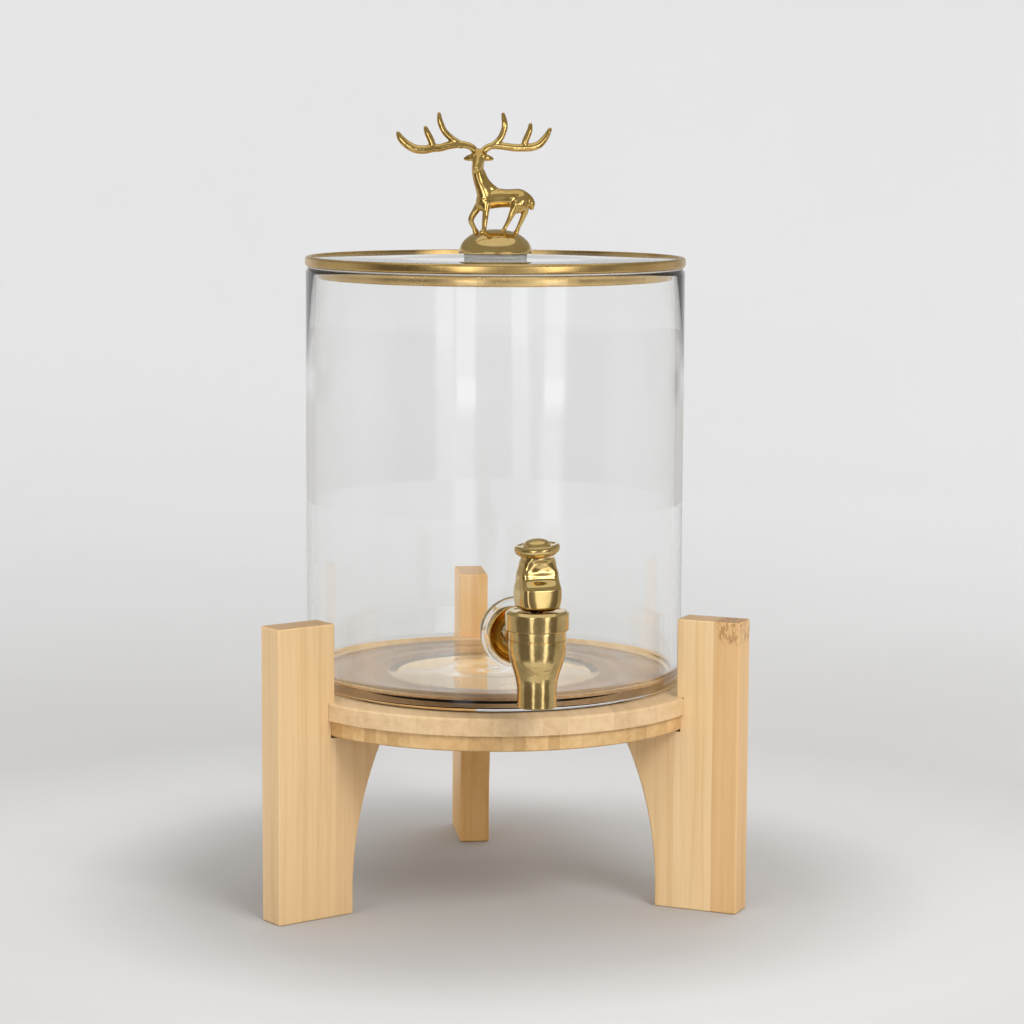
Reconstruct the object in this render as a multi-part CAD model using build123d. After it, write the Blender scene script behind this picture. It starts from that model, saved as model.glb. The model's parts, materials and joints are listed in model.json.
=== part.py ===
from build123d import *
import math
import os

# A countertop water dispenser: a glass jar with a gold tap stands on a round shelf held by
# three bamboo legs, under a glass lid with a stag for a knob.
# +Z is up. The origin is on the jar's axis, on the table. -Y is the front, where the tap is.

# Driving dimensions, in mm
JAR_R = 90.0             # outside of the glass
JAR_WALL = 4.0
JAR_H = 198.0
JAR_FLOOR = 6.5          # thickness of the glass base
JAR_HEEL_R = 5.5
TAP_HOLE_R = 8.0

SHELF_TOP_Z = 101.4      # the face that the jar stands on
SHELF_TOP_T = 8.1
SHELF_TOP_R = 100.6
SHELF_LOW_T = 7.4
SHELF_LOW_R = 99.0

LEG_T = 15.0             # plank thickness
LEG_OUT_R = 127.3        # from the jar's axis to the outer edge of a leg
POST_IN_R = 96.6         # inner edge of the part of a leg above the shelf
FOOT_IN_R = 86.7
POST_TOP_Z = 138.4
BRACKET_TIP_R = 67.5     # how far in a leg reaches under the shelf
ARCH_START_Z = 10.0      # where a leg's inner edge starts to curve
LEG_EDGE_R = 0.8
LEG_ANGLES = {"leg_left": 210.0, "leg_right": 330.0, "leg_rear": 90.0}
DOWEL_R = 1.9
DOWEL_L = 26.0
DOWEL_IN_R = 88.0        # from the jar's axis to the inner end of a dowel
DOWEL_SIDE = 3.7         # how far each of a leg's two dowels is from its middle
SCREWS = 6
SCREW_RING_R = 55.0
SCREW_R = 1.6
SCREW_HEAD_R = 3.4

TAP_Z = 139.3            # height of the tap's hole
TAP_REACH = 28.0         # from the glass to the tap's own axis
TAP_TURN = 12.5          # the tap stands this far off square to the glass, in degrees
NOZZLE_R = 8.85
NOZZLE_Z = 110.0         # mouth of the nozzle
BARREL_R = 12.95
GROOVE_Z = 140.7         # fine groove round the barrel
BONNET_Z = 144.8         # joint between barrel and bonnet
BONNET_R = 14.2
BONNET_TOP_Z = 153.7
SHANK_R = 6.0
SHANK_BORE_R = 3.5
SEAT_Z = 127.5           # the face that the valve plug closes on
STEM_R = 2.0
PIN_R = 1.25
CHAMBER_R = 9.0          # room for plug and spring, under the bonnet
CHAMBER_TOP_Z = 149.6
UNDER_BONNET_Z = 151.0   # ceiling of that room
THREAD_R = 11.4
NECK_R = 6.8             # round neck between barrel and rosette
SHOULDER_R = 7.6         # ball at the neck's end, which the rosette bears on
SPRING_R = 4.4
WIRE_R = 0.4
NUT_R = 10.9             # centre to corner
NUT_T = 6.0
WASHER_R = 16.4          # soft washer outside the glass
WASHER_T = 3.0
WASHER_HOLE_R = 7.4
WASHER_IN_R = 11.0       # soft washer inside the glass

HANDLE_W = 19.4
HANDLE_D = 18.0
HANDLE_TOP_Z = 177.5
HANDLE_GAP = 0.3         # between handle and bonnet
HANDLE_MAX = 30.0        # how far the handle rocks forward, in degrees
ROCK_R = 2.0             # rounding of the edge that the handle rocks on
STEM_LIFT = 0.010 * math.radians(HANDLE_MAX) * 1000.0
PIN_Z = 162.0

RIM_R = 90.3
LEDGE_R = 84.6           # inner edge of the ledge that the plate lies on
RIM_Z = 300.3            # underside of the lid's rim
RIM_TOP_Z = 304.9
PLATE_R = 87.6
PLATE_T = 3.0
SKIRT_R = 85.4
SKIRT_Z = 294.4
SKIRT_H = 3.9
SEAL_T = 0.8
SEAL_WALL = 1.8
LID_TURN = -7.3          # how far the lid is turned on the jar, in degrees

DOME_R = 17.5
DOME_H = 11.3
KNOB_WASHER_T = 2.4
KNOB_SCREW_R = 2.5
KNOB_WASHER_R = 15.0
KNOB_SOFT_R = 9.0        # soft washer under the plate
KNOB_SOFT_T = 1.5
KNOB_STEEL_R = 7.5       # steel washer under that
KNOB_STEEL_T = 1.0
KNOB_HEAD_R = 4.6
FIT = 0.05               # play between pieces of one assembly

# Derived heights
SHELF_MID_Z = SHELF_TOP_Z - SHELF_TOP_T
SHELF_LOW_Z = SHELF_MID_Z - SHELF_LOW_T
DOWEL_Z = SHELF_TOP_Z - SHELF_TOP_T / 2
JAR_Z = SHELF_TOP_Z
JAR_TOP_Z = JAR_Z + JAR_H
PLATE_Z = RIM_Z + 0.8
PLATE_TOP_Z = PLATE_Z + PLATE_T
DOME_Z = PLATE_TOP_Z + KNOB_WASHER_T
HANDLE_Z = BONNET_TOP_Z + HANDLE_GAP
ROCK_Y = ROCK_R - HANDLE_D / 2 - 0.5
ROCK_Z = HANDLE_Z + ROCK_R
HANDLE_FRONT_Y = -HANDLE_D / 2 - 0.5
HANDLE_BACK_Y = HANDLE_D / 2 - 0.5
NUT_Z = TAP_REACH + JAR_WALL + 4.2      # from the tap's axis, as is the next
SHANK_END = NUT_Z + NUT_T + 3.0
KNOB_STEEL_Z = PLATE_Z - KNOB_SOFT_T - KNOB_STEEL_T

ON_BASE = (Align.CENTER, Align.CENTER, Align.MIN)
JAR_WALL_FRAME = Pos(0, -JAR_R, TAP_Z) * Rot(90, 0, 0)
TAP_FRAME = Pos(0, -JAR_R, 0) * Rot(0, 0, TAP_TURN) * Pos(0, -TAP_REACH, 0)
LID_FRAME = Rot(0, 0, LID_TURN)


# Shared shapes

def post(radius, low, high):
    """An upright cylinder from one height to another."""
    return Pos(0, 0, low) * Cylinder(radius, high - low, align=ON_BASE)


def ring(outer, inner, low, high):
    return post(outer, low, high) - post(inner, low - 1, high + 1)


def outer_edges(solid, radius):
    """The round edges of a ring that lie on its outer face."""
    return solid.edges().filter_by(GeomType.CIRCLE).filter_by(lambda edge: edge.radius > radius - 0.1)


def turned(*edges):
    """A solid of revolution about Z. The edges close an outline of (radius, height)."""
    return revolve(Plane.XZ * make_face(list(edges)), Axis.Z)


def outward(radius, low, high):
    """A cylinder square to the glass at the tap's hole, by distance from the glass."""
    return JAR_WALL_FRAME * post(radius, low, high)


def along_tap(radius, start, end):
    """A cylinder along the tap's shank, in the tap's own frame. +Y points at the jar."""
    return Pos(0, start, TAP_Z) * Rot(-90, 0, 0) * Cylinder(radius, end - start, align=ON_BASE)


def capsule(start, end, start_r, end_r):
    """A tapering round piece with a half ball at each end."""
    length = (end - start).length
    outline = [
        TangentArc((0, -start_r), (start_r, 0), tangent=(1, 0)),
        Line((start_r, 0), (end_r, length)),
        TangentArc((0, length + end_r), (end_r, length), tangent=(1, 0)),
        Line((0, length + end_r), (0, -start_r)),
    ]
    return Plane(origin=start, z_dir=end - start) * turned(*outline)


def limb(*stations):
    """A round limb through stations of (x, y, z, radius).

    Each capsule ends a little inside the ball that starts the next one.
    """
    centres = [Vector(*station[:3]) for station in stations]
    radii = [station[3] for station in stations]
    ends = [0.94 * radius for radius in radii]
    return [capsule(*run) for run in zip(centres, centres[1:], radii, ends[1:])]


def joined(pieces):
    solid = pieces[0]
    for piece in pieces[1:]:
        solid = solid + piece
    return solid


# Stand

def leg_plank():
    """One leg with its outer edge along +X, before the shelf is let into it."""
    bracket_z = SHELF_LOW_Z
    arch = TangentArc((FOOT_IN_R, ARCH_START_Z), (BRACKET_TIP_R, bracket_z), tangent=(0, 1))
    edge = Polyline(
        (BRACKET_TIP_R, bracket_z),
        (POST_IN_R, bracket_z),
        (POST_IN_R, POST_TOP_Z),
        (LEG_OUT_R, POST_TOP_Z),
        (LEG_OUT_R, 0),
        (FOOT_IN_R, 0),
        (FOOT_IN_R, ARCH_START_Z),
    )
    plank = extrude(Plane.XZ * make_face([arch, edge]), LEG_T / 2, both=True)
    return fillet(plank.edges(), LEG_EDGE_R)


def dowel(radius, start, length):
    return Pos(start, 0, DOWEL_Z) * Rot(0, 90, 0) * Cylinder(radius, length, align=ON_BASE)


def at_dowels(angles, piece):
    """Copies of a piece at both dowels of the legs at these angles."""
    return [Rot(0, 0, angle) * Pos(0, side, 0) * piece
            for angle in angles for side in (-DOWEL_SIDE, DOWEL_SIDE)]


def leg_dowels():
    return at_dowels(LEG_ANGLES.values(), dowel(DOWEL_R, DOWEL_IN_R, DOWEL_L))


def dowel_holes():
    return at_dowels(LEG_ANGLES.values(), dowel(DOWEL_R + FIT, DOWEL_IN_R - 0.5, DOWEL_L + 1))


def leg(angle):
    plank = Rot(0, 0, angle) * leg_plank()
    plank -= post(SHELF_TOP_R + FIT, SHELF_MID_Z, SHELF_TOP_Z)
    plank -= post(SHELF_LOW_R + FIT, SHELF_LOW_Z - 1, SHELF_MID_Z)
    return plank - dowel_holes()


def at_screws(piece):
    """Copies of a piece at each shelf screw, between the legs and under them."""
    step = 360 / SCREWS
    return [Rot(0, 0, 30 + step * turn) * Pos(SCREW_RING_R, 0, SHELF_LOW_Z) * piece for turn in range(SCREWS)]


def shelf_screw():
    """A countersunk wood screw, head down, with its head flush in the lower disc."""
    head = Cone(SCREW_HEAD_R, SCREW_R, 2.0, align=ON_BASE)
    shank = Cylinder(SCREW_R, 12.0, align=ON_BASE)
    drive = Cylinder(1.2, 1.0, align=ON_BASE)
    return head + shank - drive


def shelf_screw_hole():
    sink = Pos(0, 0, -1) * Cone(SCREW_HEAD_R + 1.7, SCREW_R + FIT, 3.0 + FIT, align=ON_BASE)
    return sink + Cylinder(SCREW_R + FIT, 12.2, align=ON_BASE)


def shelf_top():
    disc = post(SHELF_TOP_R, SHELF_MID_Z, SHELF_TOP_Z)
    disc = fillet(disc.edges().group_by(Axis.Z)[-1], 1.0)
    return disc - dowel_holes() - at_screws(shelf_screw_hole())


def shelf_bottom():
    disc = post(SHELF_LOW_R, SHELF_LOW_Z, SHELF_MID_Z)
    disc = chamfer(disc.edges().group_by(Axis.Z)[0], 0.6)
    return disc - at_screws(shelf_screw_hole())


# Jar

def glass_jar():
    inner_r = JAR_R - JAR_WALL
    floor_z = JAR_Z + JAR_FLOOR
    corner_r = 7.0
    punt_r = 46.0
    punt_z = JAR_Z + 1.2
    heel_z = JAR_Z + JAR_HEEL_R
    rim_z = JAR_TOP_Z - JAR_WALL / 2
    outline = [
        Line((0, punt_z), (0, floor_z)),
        Line((0, floor_z), (inner_r - corner_r, floor_z)),
        TangentArc((inner_r - corner_r, floor_z), (inner_r, floor_z + corner_r), tangent=(1, 0)),
        Line((inner_r, floor_z + corner_r), (inner_r, rim_z)),
        ThreePointArc((inner_r, rim_z), (inner_r + JAR_WALL / 2, JAR_TOP_Z), (JAR_R, rim_z)),
        Line((JAR_R, rim_z), (JAR_R, heel_z)),
        TangentArc((JAR_R, heel_z), (JAR_R - JAR_HEEL_R, JAR_Z), tangent=(0, -1)),
        Line((JAR_R - JAR_HEEL_R, JAR_Z), (punt_r + 4, JAR_Z)),
        Line((punt_r + 4, JAR_Z), (punt_r, punt_z)),
        Line((punt_r, punt_z), (0, punt_z)),
    ]
    return turned(*outline) - outward(TAP_HOLE_R, -20, 20)


# Tap. These shapes stand on the tap's own axis, and TAP_FRAME puts them at the jar.

def barrel_outline():
    """The barrel narrows to the nozzle in a smooth S."""
    belly_z = 137.5
    waist_z = 117.0
    middle = ((BARREL_R + NOZZLE_R) / 2, (belly_z + waist_z) / 2)
    return [
        TangentArc((NOZZLE_R, waist_z), middle, tangent=(0, 1)),
        TangentArc((BARREL_R, belly_z), middle, tangent=(0, -1)),
        Polyline(
            (BARREL_R, belly_z), (BARREL_R, BONNET_Z), (THREAD_R, BONNET_Z),
            (THREAD_R, CHAMBER_TOP_Z), (0, CHAMBER_TOP_Z), (0, NOZZLE_Z),
            (NOZZLE_R - 0.5, NOZZLE_Z), (NOZZLE_R, NOZZLE_Z + 0.5), (NOZZLE_R, waist_z),
        ),
    ]


def shank_and_neck():
    shoulder_y = TAP_REACH - WASHER_T - 5.2
    neck = along_tap(NECK_R, 0, shoulder_y)
    shoulder = Pos(0, shoulder_y, TAP_Z) * Sphere(SHOULDER_R)
    return neck + shoulder + along_tap(SHANK_R, 0, SHANK_END)


def tap_body():
    neck = shank_and_neck() - post(BONNET_R + 0.3, BONNET_Z - 0.3, BONNET_TOP_Z)
    groove = ring(BARREL_R + 1, BARREL_R - 0.35, GROOVE_Z - 0.2, GROOVE_Z + 0.2)
    body = turned(*barrel_outline()) - groove + neck
    body -= post(CHAMBER_R, SEAT_Z, CHAMBER_TOP_Z + 1)
    body -= post(4.5, SEAT_Z - 4, SEAT_Z + 1)
    body -= post(6.5, NOZZLE_Z - 1, SEAT_Z - 3.5)
    return body - along_tap(SHANK_BORE_R, 0, SHANK_END + 1)


def tap_bonnet():
    """A screwed cap with a guide hole for the stem."""
    outline = Polyline(
        (THREAD_R + FIT, BONNET_Z), (BONNET_R - 0.4, BONNET_Z), (BONNET_R, BONNET_Z + 0.4),
        (BONNET_R, BONNET_TOP_Z - 0.8), (BONNET_R - 0.8, BONNET_TOP_Z),
        (STEM_R + 0.08, BONNET_TOP_Z), (STEM_R + 0.08, UNDER_BONNET_Z), (THREAD_R + FIT, UNDER_BONNET_Z),
        close=True,
    )
    return turned(outline)


def bonnet_oring():
    return Pos(0, 0, CHAMBER_TOP_Z + 0.7) * Torus(10.2, 0.68)


def tap_stem():
    """The steel stem, with a collar that holds the plug below and the spring above."""
    stem = post(STEM_R, SEAT_Z + 2.5, PIN_Z + 2.4)
    collar = post(5.6, SEAT_Z + 6.1, SEAT_Z + 7.1)
    eye = Pos(0, 0, PIN_Z) * Rot(0, 90, 0) * Cylinder(PIN_R + 0.02, 10)
    return stem + collar - eye


def tap_seal():
    """A soft plug with a cone that enters the seat's edge and a face that closes on it."""
    outline = Polyline(
        (STEM_R + 0.02, SEAT_Z + 6.0), (6.6, SEAT_Z + 6.0), (6.6, SEAT_Z + 0.15),
        (4.3, SEAT_Z + 0.15), (3.2, SEAT_Z - 1.6), (0, SEAT_Z - 1.6), (0, SEAT_Z + 2.4),
        (STEM_R + 0.02, SEAT_Z + 2.4),
        close=True,
    )
    return turned(outline)


def tap_spring():
    """A round-wire coil between the stem's collar and the bonnet."""
    low = SEAT_Z + 7.1 + WIRE_R + 0.1
    high = UNDER_BONNET_Z - WIRE_R - 0.1
    coil = Helix(pitch=(high - low) / 6, height=high - low, radius=SPRING_R, center=(0, 0, low))
    section = Plane(origin=coil @ 0, z_dir=coil % 0) * Circle(WIRE_R)
    return sweep(section, path=coil)


def tap_pin():
    return Pos(0, 0, PIN_Z) * Rot(0, 90, 0) * Cylinder(PIN_R, HANDLE_W - 1.2)


def pin_in_handle(share):
    """Where the pin is in the handle's side face, as the handle rocks by a share of its range.

    Coordinates are (y, z) in the handle at rest. The stem rises in step with the angle.
    """
    angle = math.radians(HANDLE_MAX * share)
    back = -ROCK_Y
    up = PIN_Z - ROCK_Z + STEM_LIFT * share
    y = back * math.cos(angle) + up * math.sin(angle)
    z = -back * math.sin(angle) + up * math.cos(angle)
    return (ROCK_Y + y, ROCK_Z + z)


def handle_block():
    """The lever's side outline: a square heel, a scooped front and a slim neck."""
    front = HANDLE_FRONT_Y
    back = HANDLE_BACK_Y
    shelf_z = 163.6
    neck_d = 5.6
    outline = [
        Polyline((front, HANDLE_Z), (front, shelf_z)),
        ThreePointArc((front, shelf_z), (-neck_d - 0.6, 168.8), (-neck_d - 0.9, HANDLE_TOP_Z)),
        Polyline((-neck_d - 0.9, HANDLE_TOP_Z), (neck_d + 0.9, HANDLE_TOP_Z)),
        ThreePointArc((neck_d + 0.9, HANDLE_TOP_Z), (7.4, 169.0), (back, 160.5)),
        Polyline((back, 160.5), (back, HANDLE_Z), (front, HANDLE_Z)),
    ]
    return extrude(Plane.YZ * make_face(outline), HANDLE_W / 2, both=True)


def handle_front_view():
    """The lever's front outline, which narrows in a curve towards the top."""
    half = HANDLE_W / 2
    top_half = 7.45
    right = ThreePointArc((half, 159.5), (half - 0.5, 169.0), (top_half, HANDLE_TOP_Z))
    left = ThreePointArc((-half, 159.5), (0.5 - half, 169.0), (-top_half, HANDLE_TOP_Z))
    top = Line((-top_half, HANDLE_TOP_Z), (top_half, HANDLE_TOP_Z))
    low = Polyline(
        (-half, 159.5), (-half, HANDLE_Z + 2.6), (1.3 - half, HANDLE_Z),
        (half - 1.3, HANDLE_Z), (half, HANDLE_Z + 2.6), (half, 159.5),
    )
    return extrude(Plane.XZ * make_face([right, left, top, low]), HANDLE_D, both=True)


def tap_handle():
    """The lever, with a slot for the pin through both cheeks and room for the stem."""
    lever = handle_block() & handle_front_view()
    rock_edge = lever.edges().filter_by(Axis.X).group_by(Axis.Z)[0].sort_by(Axis.Y)[0]
    lever = fillet(rock_edge, ROCK_R)
    path = ThreePointArc(pin_in_handle(0), pin_in_handle(0.5), pin_in_handle(1))
    slot = extrude(Plane.YZ * SlotArc(path, 2 * (PIN_R + 0.2)), HANDLE_W, both=True)
    room = Pos(0, 2.3, HANDLE_Z - 1) * Box(2 * STEM_R + 0.7, 10.6, 12.4, align=ON_BASE)
    socket = post(2.2, HANDLE_TOP_Z - 6, HANDLE_TOP_Z + 1)
    return lever - slot - room - socket


def handle_cap():
    """A discus with a dished top, a low button and a peg that goes down into the handle."""
    outline = [
        Polyline((0, HANDLE_TOP_Z - 5.8), (2.15, HANDLE_TOP_Z - 5.8), (2.15, HANDLE_TOP_Z),
                 (6.6, HANDLE_TOP_Z)),
        ThreePointArc((6.6, HANDLE_TOP_Z), (9.6, HANDLE_TOP_Z + 1.5), (10.35, 180.9)),
        ThreePointArc((10.35, 180.9), (9.6, 182.5), (7.6, 182.9)),
        ThreePointArc((7.6, 182.9), (6.6, 182.9), (5.95, 183.2)),
        TangentArc((0, 186.4), (5.95, 183.2), tangent=(1, 0)),
        Line((0, 186.4), (0, HANDLE_TOP_Z - 5.8)),
    ]
    return turned(*outline)


def tap_rosette():
    """A dish behind the neck, open to the front, with a rolled edge."""
    low = WASHER_T
    hole_r = WASHER_HOLE_R
    outline = [
        Polyline((hole_r, low + 1.3), (hole_r, low), (8.6, low)),
        ThreePointArc((8.6, low), (11.6, low + 1.6), (12.9, low + 4.4)),
        Line((12.9, low + 4.4), (11.7, low + 4.7)),
        ThreePointArc((11.7, low + 4.7), (10.7, low + 2.6), (8.3, low + 1.3)),
        Line((8.3, low + 1.3), (hole_r, low + 1.3)),
    ]
    dish = turned(*outline) + Pos(0, 0, low + 4.7) * Torus(12.3, 0.9)
    return JAR_WALL_FRAME * dish - TAP_FRAME * shank_and_neck()


def washer_outer():
    """A soft disc that follows the round glass behind it and is flat in front."""
    disc = outward(WASHER_R, -JAR_WALL, WASHER_T) - outward(WASHER_HOLE_R, -JAR_WALL - 1, WASHER_T + 1)
    return disc - post(JAR_R, SHELF_TOP_Z, JAR_TOP_Z) - TAP_FRAME * shank_and_neck()


def washer_inner():
    """A soft wedge between the glass and the nut, which stands off square with the tap."""
    disc = along_tap(WASHER_IN_R, TAP_REACH - 6, NUT_Z) - along_tap(SHANK_R + FIT, 0, NUT_Z + 1)
    return TAP_FRAME * disc & post(JAR_R - JAR_WALL, SHELF_TOP_Z, JAR_TOP_Z)


def tap_nut():
    hexagon = extrude(RegularPolygon(NUT_R, 6), NUT_T)
    nut = Pos(0, NUT_Z, TAP_Z) * Rot(-90, 0, 0) * hexagon
    return nut - along_tap(SHANK_R + FIT, 0, SHANK_END)


# Lid

def lid_plate():
    return ring(PLATE_R, KNOB_SCREW_R + 0.4, PLATE_Z, PLATE_TOP_Z)


def lid_rim():
    """A ring that holds the plate on a ledge and covers the jar's edge."""
    outline = Polyline(
        (LEDGE_R, RIM_Z), (RIM_R, RIM_Z), (RIM_R, RIM_TOP_Z), (PLATE_R + FIT, RIM_TOP_Z),
        (PLATE_R + FIT, PLATE_Z), (LEDGE_R, PLATE_Z),
        close=True,
    )
    rim = turned(outline)
    return fillet(outer_edges(rim, RIM_R), 1.3)


def lid_seal():
    """A clear ring on the jar's edge, with a collar that the skirt is sprung over."""
    collar_r = SKIRT_R - 2.0
    flange = ring(JAR_R - 0.6, collar_r - SEAL_WALL, RIM_Z - SEAL_T + 0.1, RIM_Z)
    return flange + ring(collar_r, collar_r - SEAL_WALL, SKIRT_Z, RIM_Z - 0.3)


def lid_skirt():
    band = ring(SKIRT_R, SKIRT_R - 2.0 + FIT, SKIRT_Z, SKIRT_Z + SKIRT_H)
    return fillet(outer_edges(band, SKIRT_R), 0.6)


def knob_washer_top():
    return ring(KNOB_WASHER_R, KNOB_SCREW_R + 0.2, PLATE_TOP_Z, DOME_Z)


def knob_washer_low():
    return ring(KNOB_SOFT_R, KNOB_SCREW_R + 0.2, PLATE_Z - KNOB_SOFT_T, PLATE_Z)


def knob_washer_metal():
    return ring(KNOB_STEEL_R, KNOB_SCREW_R + 0.2, KNOB_STEEL_Z, PLATE_Z - KNOB_SOFT_T)


def knob_screw():
    """A domed cross-head screw that goes up through the plate into the dome."""
    side_z = KNOB_STEEL_Z - 1.6
    low_z = KNOB_STEEL_Z - 3.1
    head = turned(
        Polyline((0, KNOB_STEEL_Z), (KNOB_HEAD_R, KNOB_STEEL_Z), (KNOB_HEAD_R, side_z)),
        TangentArc((0, low_z), (KNOB_HEAD_R, side_z), tangent=(1, 0)),
        Line((0, low_z), (0, KNOB_STEEL_Z)),
    )
    cross = Pos(0, 0, low_z) * (Box(4.4, 0.9, 2.2) + Box(0.9, 4.4, 2.2))
    return head + post(KNOB_SCREW_R, KNOB_STEEL_Z, DOME_Z + 7.0) - cross


def solid_dome():
    """A low dome: a tight arc up from the edge runs on into a wide one over the top."""
    edge_r = 7.0
    edge_x = DOME_R - edge_r
    drop = (edge_x ** 2 - (DOME_H - edge_r) ** 2) / (2 * (DOME_H - edge_r))
    reach = math.hypot(edge_x, drop)
    meet = (edge_x + edge_r * edge_x / reach, DOME_Z + edge_r * drop / reach)
    top = (0, DOME_Z + DOME_H)
    outline = [
        TangentArc((DOME_R, DOME_Z), meet, tangent=(0, 1)),
        TangentArc(top, meet, tangent=(1, 0)),
        Polyline(top, (0, DOME_Z), (DOME_R, DOME_Z)),
    ]
    return turned(*outline)


def knob_dome():
    return solid_dome() - post(KNOB_SCREW_R + FIT, DOME_Z - 1, DOME_Z + 7.2)


# Stag, a small cast figure side on to the front, with its head turned to face the viewer.
# x runs from head to tail, -y is towards the viewer, z is height above the table.

def stag_trunk():
    return limb((-4.0, -1.0, 330.8, 4.4), (3.5, 0.4, 331.4, 4.2), (11.0, 1.0, 331.2, 4.3))


def stag_neck_and_head():
    neck = limb((-4.6, -1.2, 331.5, 4.0), (-7.0, -2.4, 338.5, 3.1), (-8.4, -3.4, 347.5, 2.6))
    head = limb((-8.4, -3.2, 351.0, 3.5), (-8.6, -6.4, 347.6, 2.4), (-8.7, -8.6, 345.2, 1.5))
    ears = [limb((-8.4 + side * 2.8, -2.6, 351.2, 1.1), (-8.4 + side * 7.0, -1.6, 350.6, 0.5))
            for side in (-1, 1)]
    return neck + head + ears[0] + ears[1]


def stag_legs():
    near_fore = limb((-4.4, -3.4, 329.5, 2.3), (-4.6, -5.2, 321.5, 1.3), (-4.5, -6.6, 314.5, 1.2))
    far_fore = limb((-6.2, 1.4, 329.0, 2.2), (-11.6, 1.8, 321.4, 1.3), (-8.4, 2.2, 315.5, 1.1))
    near_hind = limb((11.2, -2.2, 329.6, 2.9), (10.2, -4.0, 322.6, 1.4), (6.6, -5.0, 315.0, 1.2))
    far_hind = limb((13.0, 3.2, 329.6, 2.8), (13.2, 4.0, 322.8, 1.4), (9.6, 4.6, 315.2, 1.2))
    tail = limb((14.6, 0.6, 333.0, 1.3), (18.2, 0.8, 328.8, 0.7))
    return near_fore + far_fore + near_hind + far_hind + tail


def stag_antler(side):
    """A beam that sweeps out and up from the head, with two tines. side is -1 or 1."""
    centre = -8.4

    def at(out, height, radius):
        return (centre + side * out, -2.6 - 0.02 * out, height, radius)

    beam = limb(at(2.0, 352.6, 1.7), at(8.5, 354.7, 1.45), at(17.0, 354.3, 1.55),
                at(26.0, 354.7, 1.4), at(32.0, 357.2, 1.1), at(36.3, 362.4, 0.6))
    inner = limb(at(13.5, 355.0, 1.3), at(11.6, 363.0, 1.15), at(14.6, 371.6, 0.6))
    middle = limb(at(20.5, 355.0, 1.3), at(20.6, 360.0, 1.1), at(24.4, 366.0, 0.6))
    return beam + inner + middle


def knob_stag():
    pieces = stag_trunk() + stag_neck_and_head() + stag_legs() + stag_antler(-1) + stag_antler(1)
    return joined(pieces) - solid_dome()


# Files

def nodes():
    parts = {name: leg(angle) for name, angle in LEG_ANGLES.items()}
    parts["shelf_top"] = shelf_top()
    parts["shelf_bottom"] = shelf_bottom()
    parts["leg_dowels"] = Compound(leg_dowels())
    parts["shelf_screws"] = Compound(at_screws(shelf_screw()))
    parts["jar"] = glass_jar()
    on_tap_axis = {
        "tap_body": tap_body(),
        "tap_bonnet": tap_bonnet(),
        "tap_bonnet_oring": bonnet_oring(),
        "tap_nut": tap_nut(),
        "tap_stem": tap_stem(),
        "tap_seal": tap_seal(),
        "tap_spring": tap_spring(),
        "tap_pin": tap_pin(),
        "tap_handle": tap_handle(),
        "tap_handle_cap": handle_cap(),
    }
    for name, shape in on_tap_axis.items():
        parts[name] = TAP_FRAME * shape
    parts["tap_rosette"] = tap_rosette()
    parts["tap_washer_outer"] = washer_outer()
    parts["tap_washer_inner"] = washer_inner()
    parts["lid_plate"] = lid_plate()
    parts["lid_rim"] = lid_rim()
    parts["lid_seal"] = lid_seal()
    parts["lid_skirt"] = lid_skirt()
    parts["knob_washer_top"] = knob_washer_top()
    parts["knob_washer_low"] = knob_washer_low()
    parts["knob_washer_metal"] = knob_washer_metal()
    parts["knob_screw"] = knob_screw()
    parts["knob_dome"] = knob_dome()
    parts["knob_stag"] = LID_FRAME * knob_stag()
    return parts


os.makedirs("parts", exist_ok=True)
for node, shape in nodes().items():
    export_step(shape, f"parts/{node}.step")
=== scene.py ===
"""Looks of the countertop water dispenser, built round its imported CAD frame.

Everything is in metres in the CAD's own frame: +Z up, -Y the front, the origin on the jar's axis.
Small lengths are written in millimetres and turned into metres by mm().
"""

import json
import math

import bmesh
import bpy
from mathutils import Matrix, Vector


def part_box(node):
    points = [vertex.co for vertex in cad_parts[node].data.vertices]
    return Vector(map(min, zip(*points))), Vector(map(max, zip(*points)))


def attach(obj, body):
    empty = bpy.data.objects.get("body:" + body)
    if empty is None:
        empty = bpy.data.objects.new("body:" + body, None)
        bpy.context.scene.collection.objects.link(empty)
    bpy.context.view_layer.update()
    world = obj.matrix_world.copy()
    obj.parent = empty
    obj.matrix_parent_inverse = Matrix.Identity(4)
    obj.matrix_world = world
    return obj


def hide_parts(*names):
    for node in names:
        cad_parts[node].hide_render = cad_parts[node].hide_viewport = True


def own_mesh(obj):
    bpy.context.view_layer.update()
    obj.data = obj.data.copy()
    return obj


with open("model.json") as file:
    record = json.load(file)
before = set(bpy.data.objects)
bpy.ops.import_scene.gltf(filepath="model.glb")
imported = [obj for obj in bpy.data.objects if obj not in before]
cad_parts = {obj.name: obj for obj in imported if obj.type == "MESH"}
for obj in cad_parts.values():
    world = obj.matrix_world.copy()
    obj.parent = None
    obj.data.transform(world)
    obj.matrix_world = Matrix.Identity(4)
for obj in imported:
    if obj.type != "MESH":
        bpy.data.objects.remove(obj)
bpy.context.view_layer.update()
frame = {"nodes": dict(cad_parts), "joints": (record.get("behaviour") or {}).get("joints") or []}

MM = 0.001
TAU = 2 * math.pi
X, Y, Z = 0, 1, 2
SIDES = 160              # steps round a small turned piece
RIM_SIDES = 256          # steps round the lid's wide rings
JAR_SIDES = 288          # steps round the jar
ON_AXIS = 1e-7           # a ring with a smaller radius, in metres, is a single point


def mm(*values):
    """Millimetres to metres, as one number or a tuple."""
    scaled = tuple(value * MM for value in values)
    return scaled[0] if len(scaled) == 1 else scaled


# ---------------------------------------------------------------- places read from the CAD frame

def low_of(node):
    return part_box(node)[0]


def high_of(node):
    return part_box(node)[1]


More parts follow.
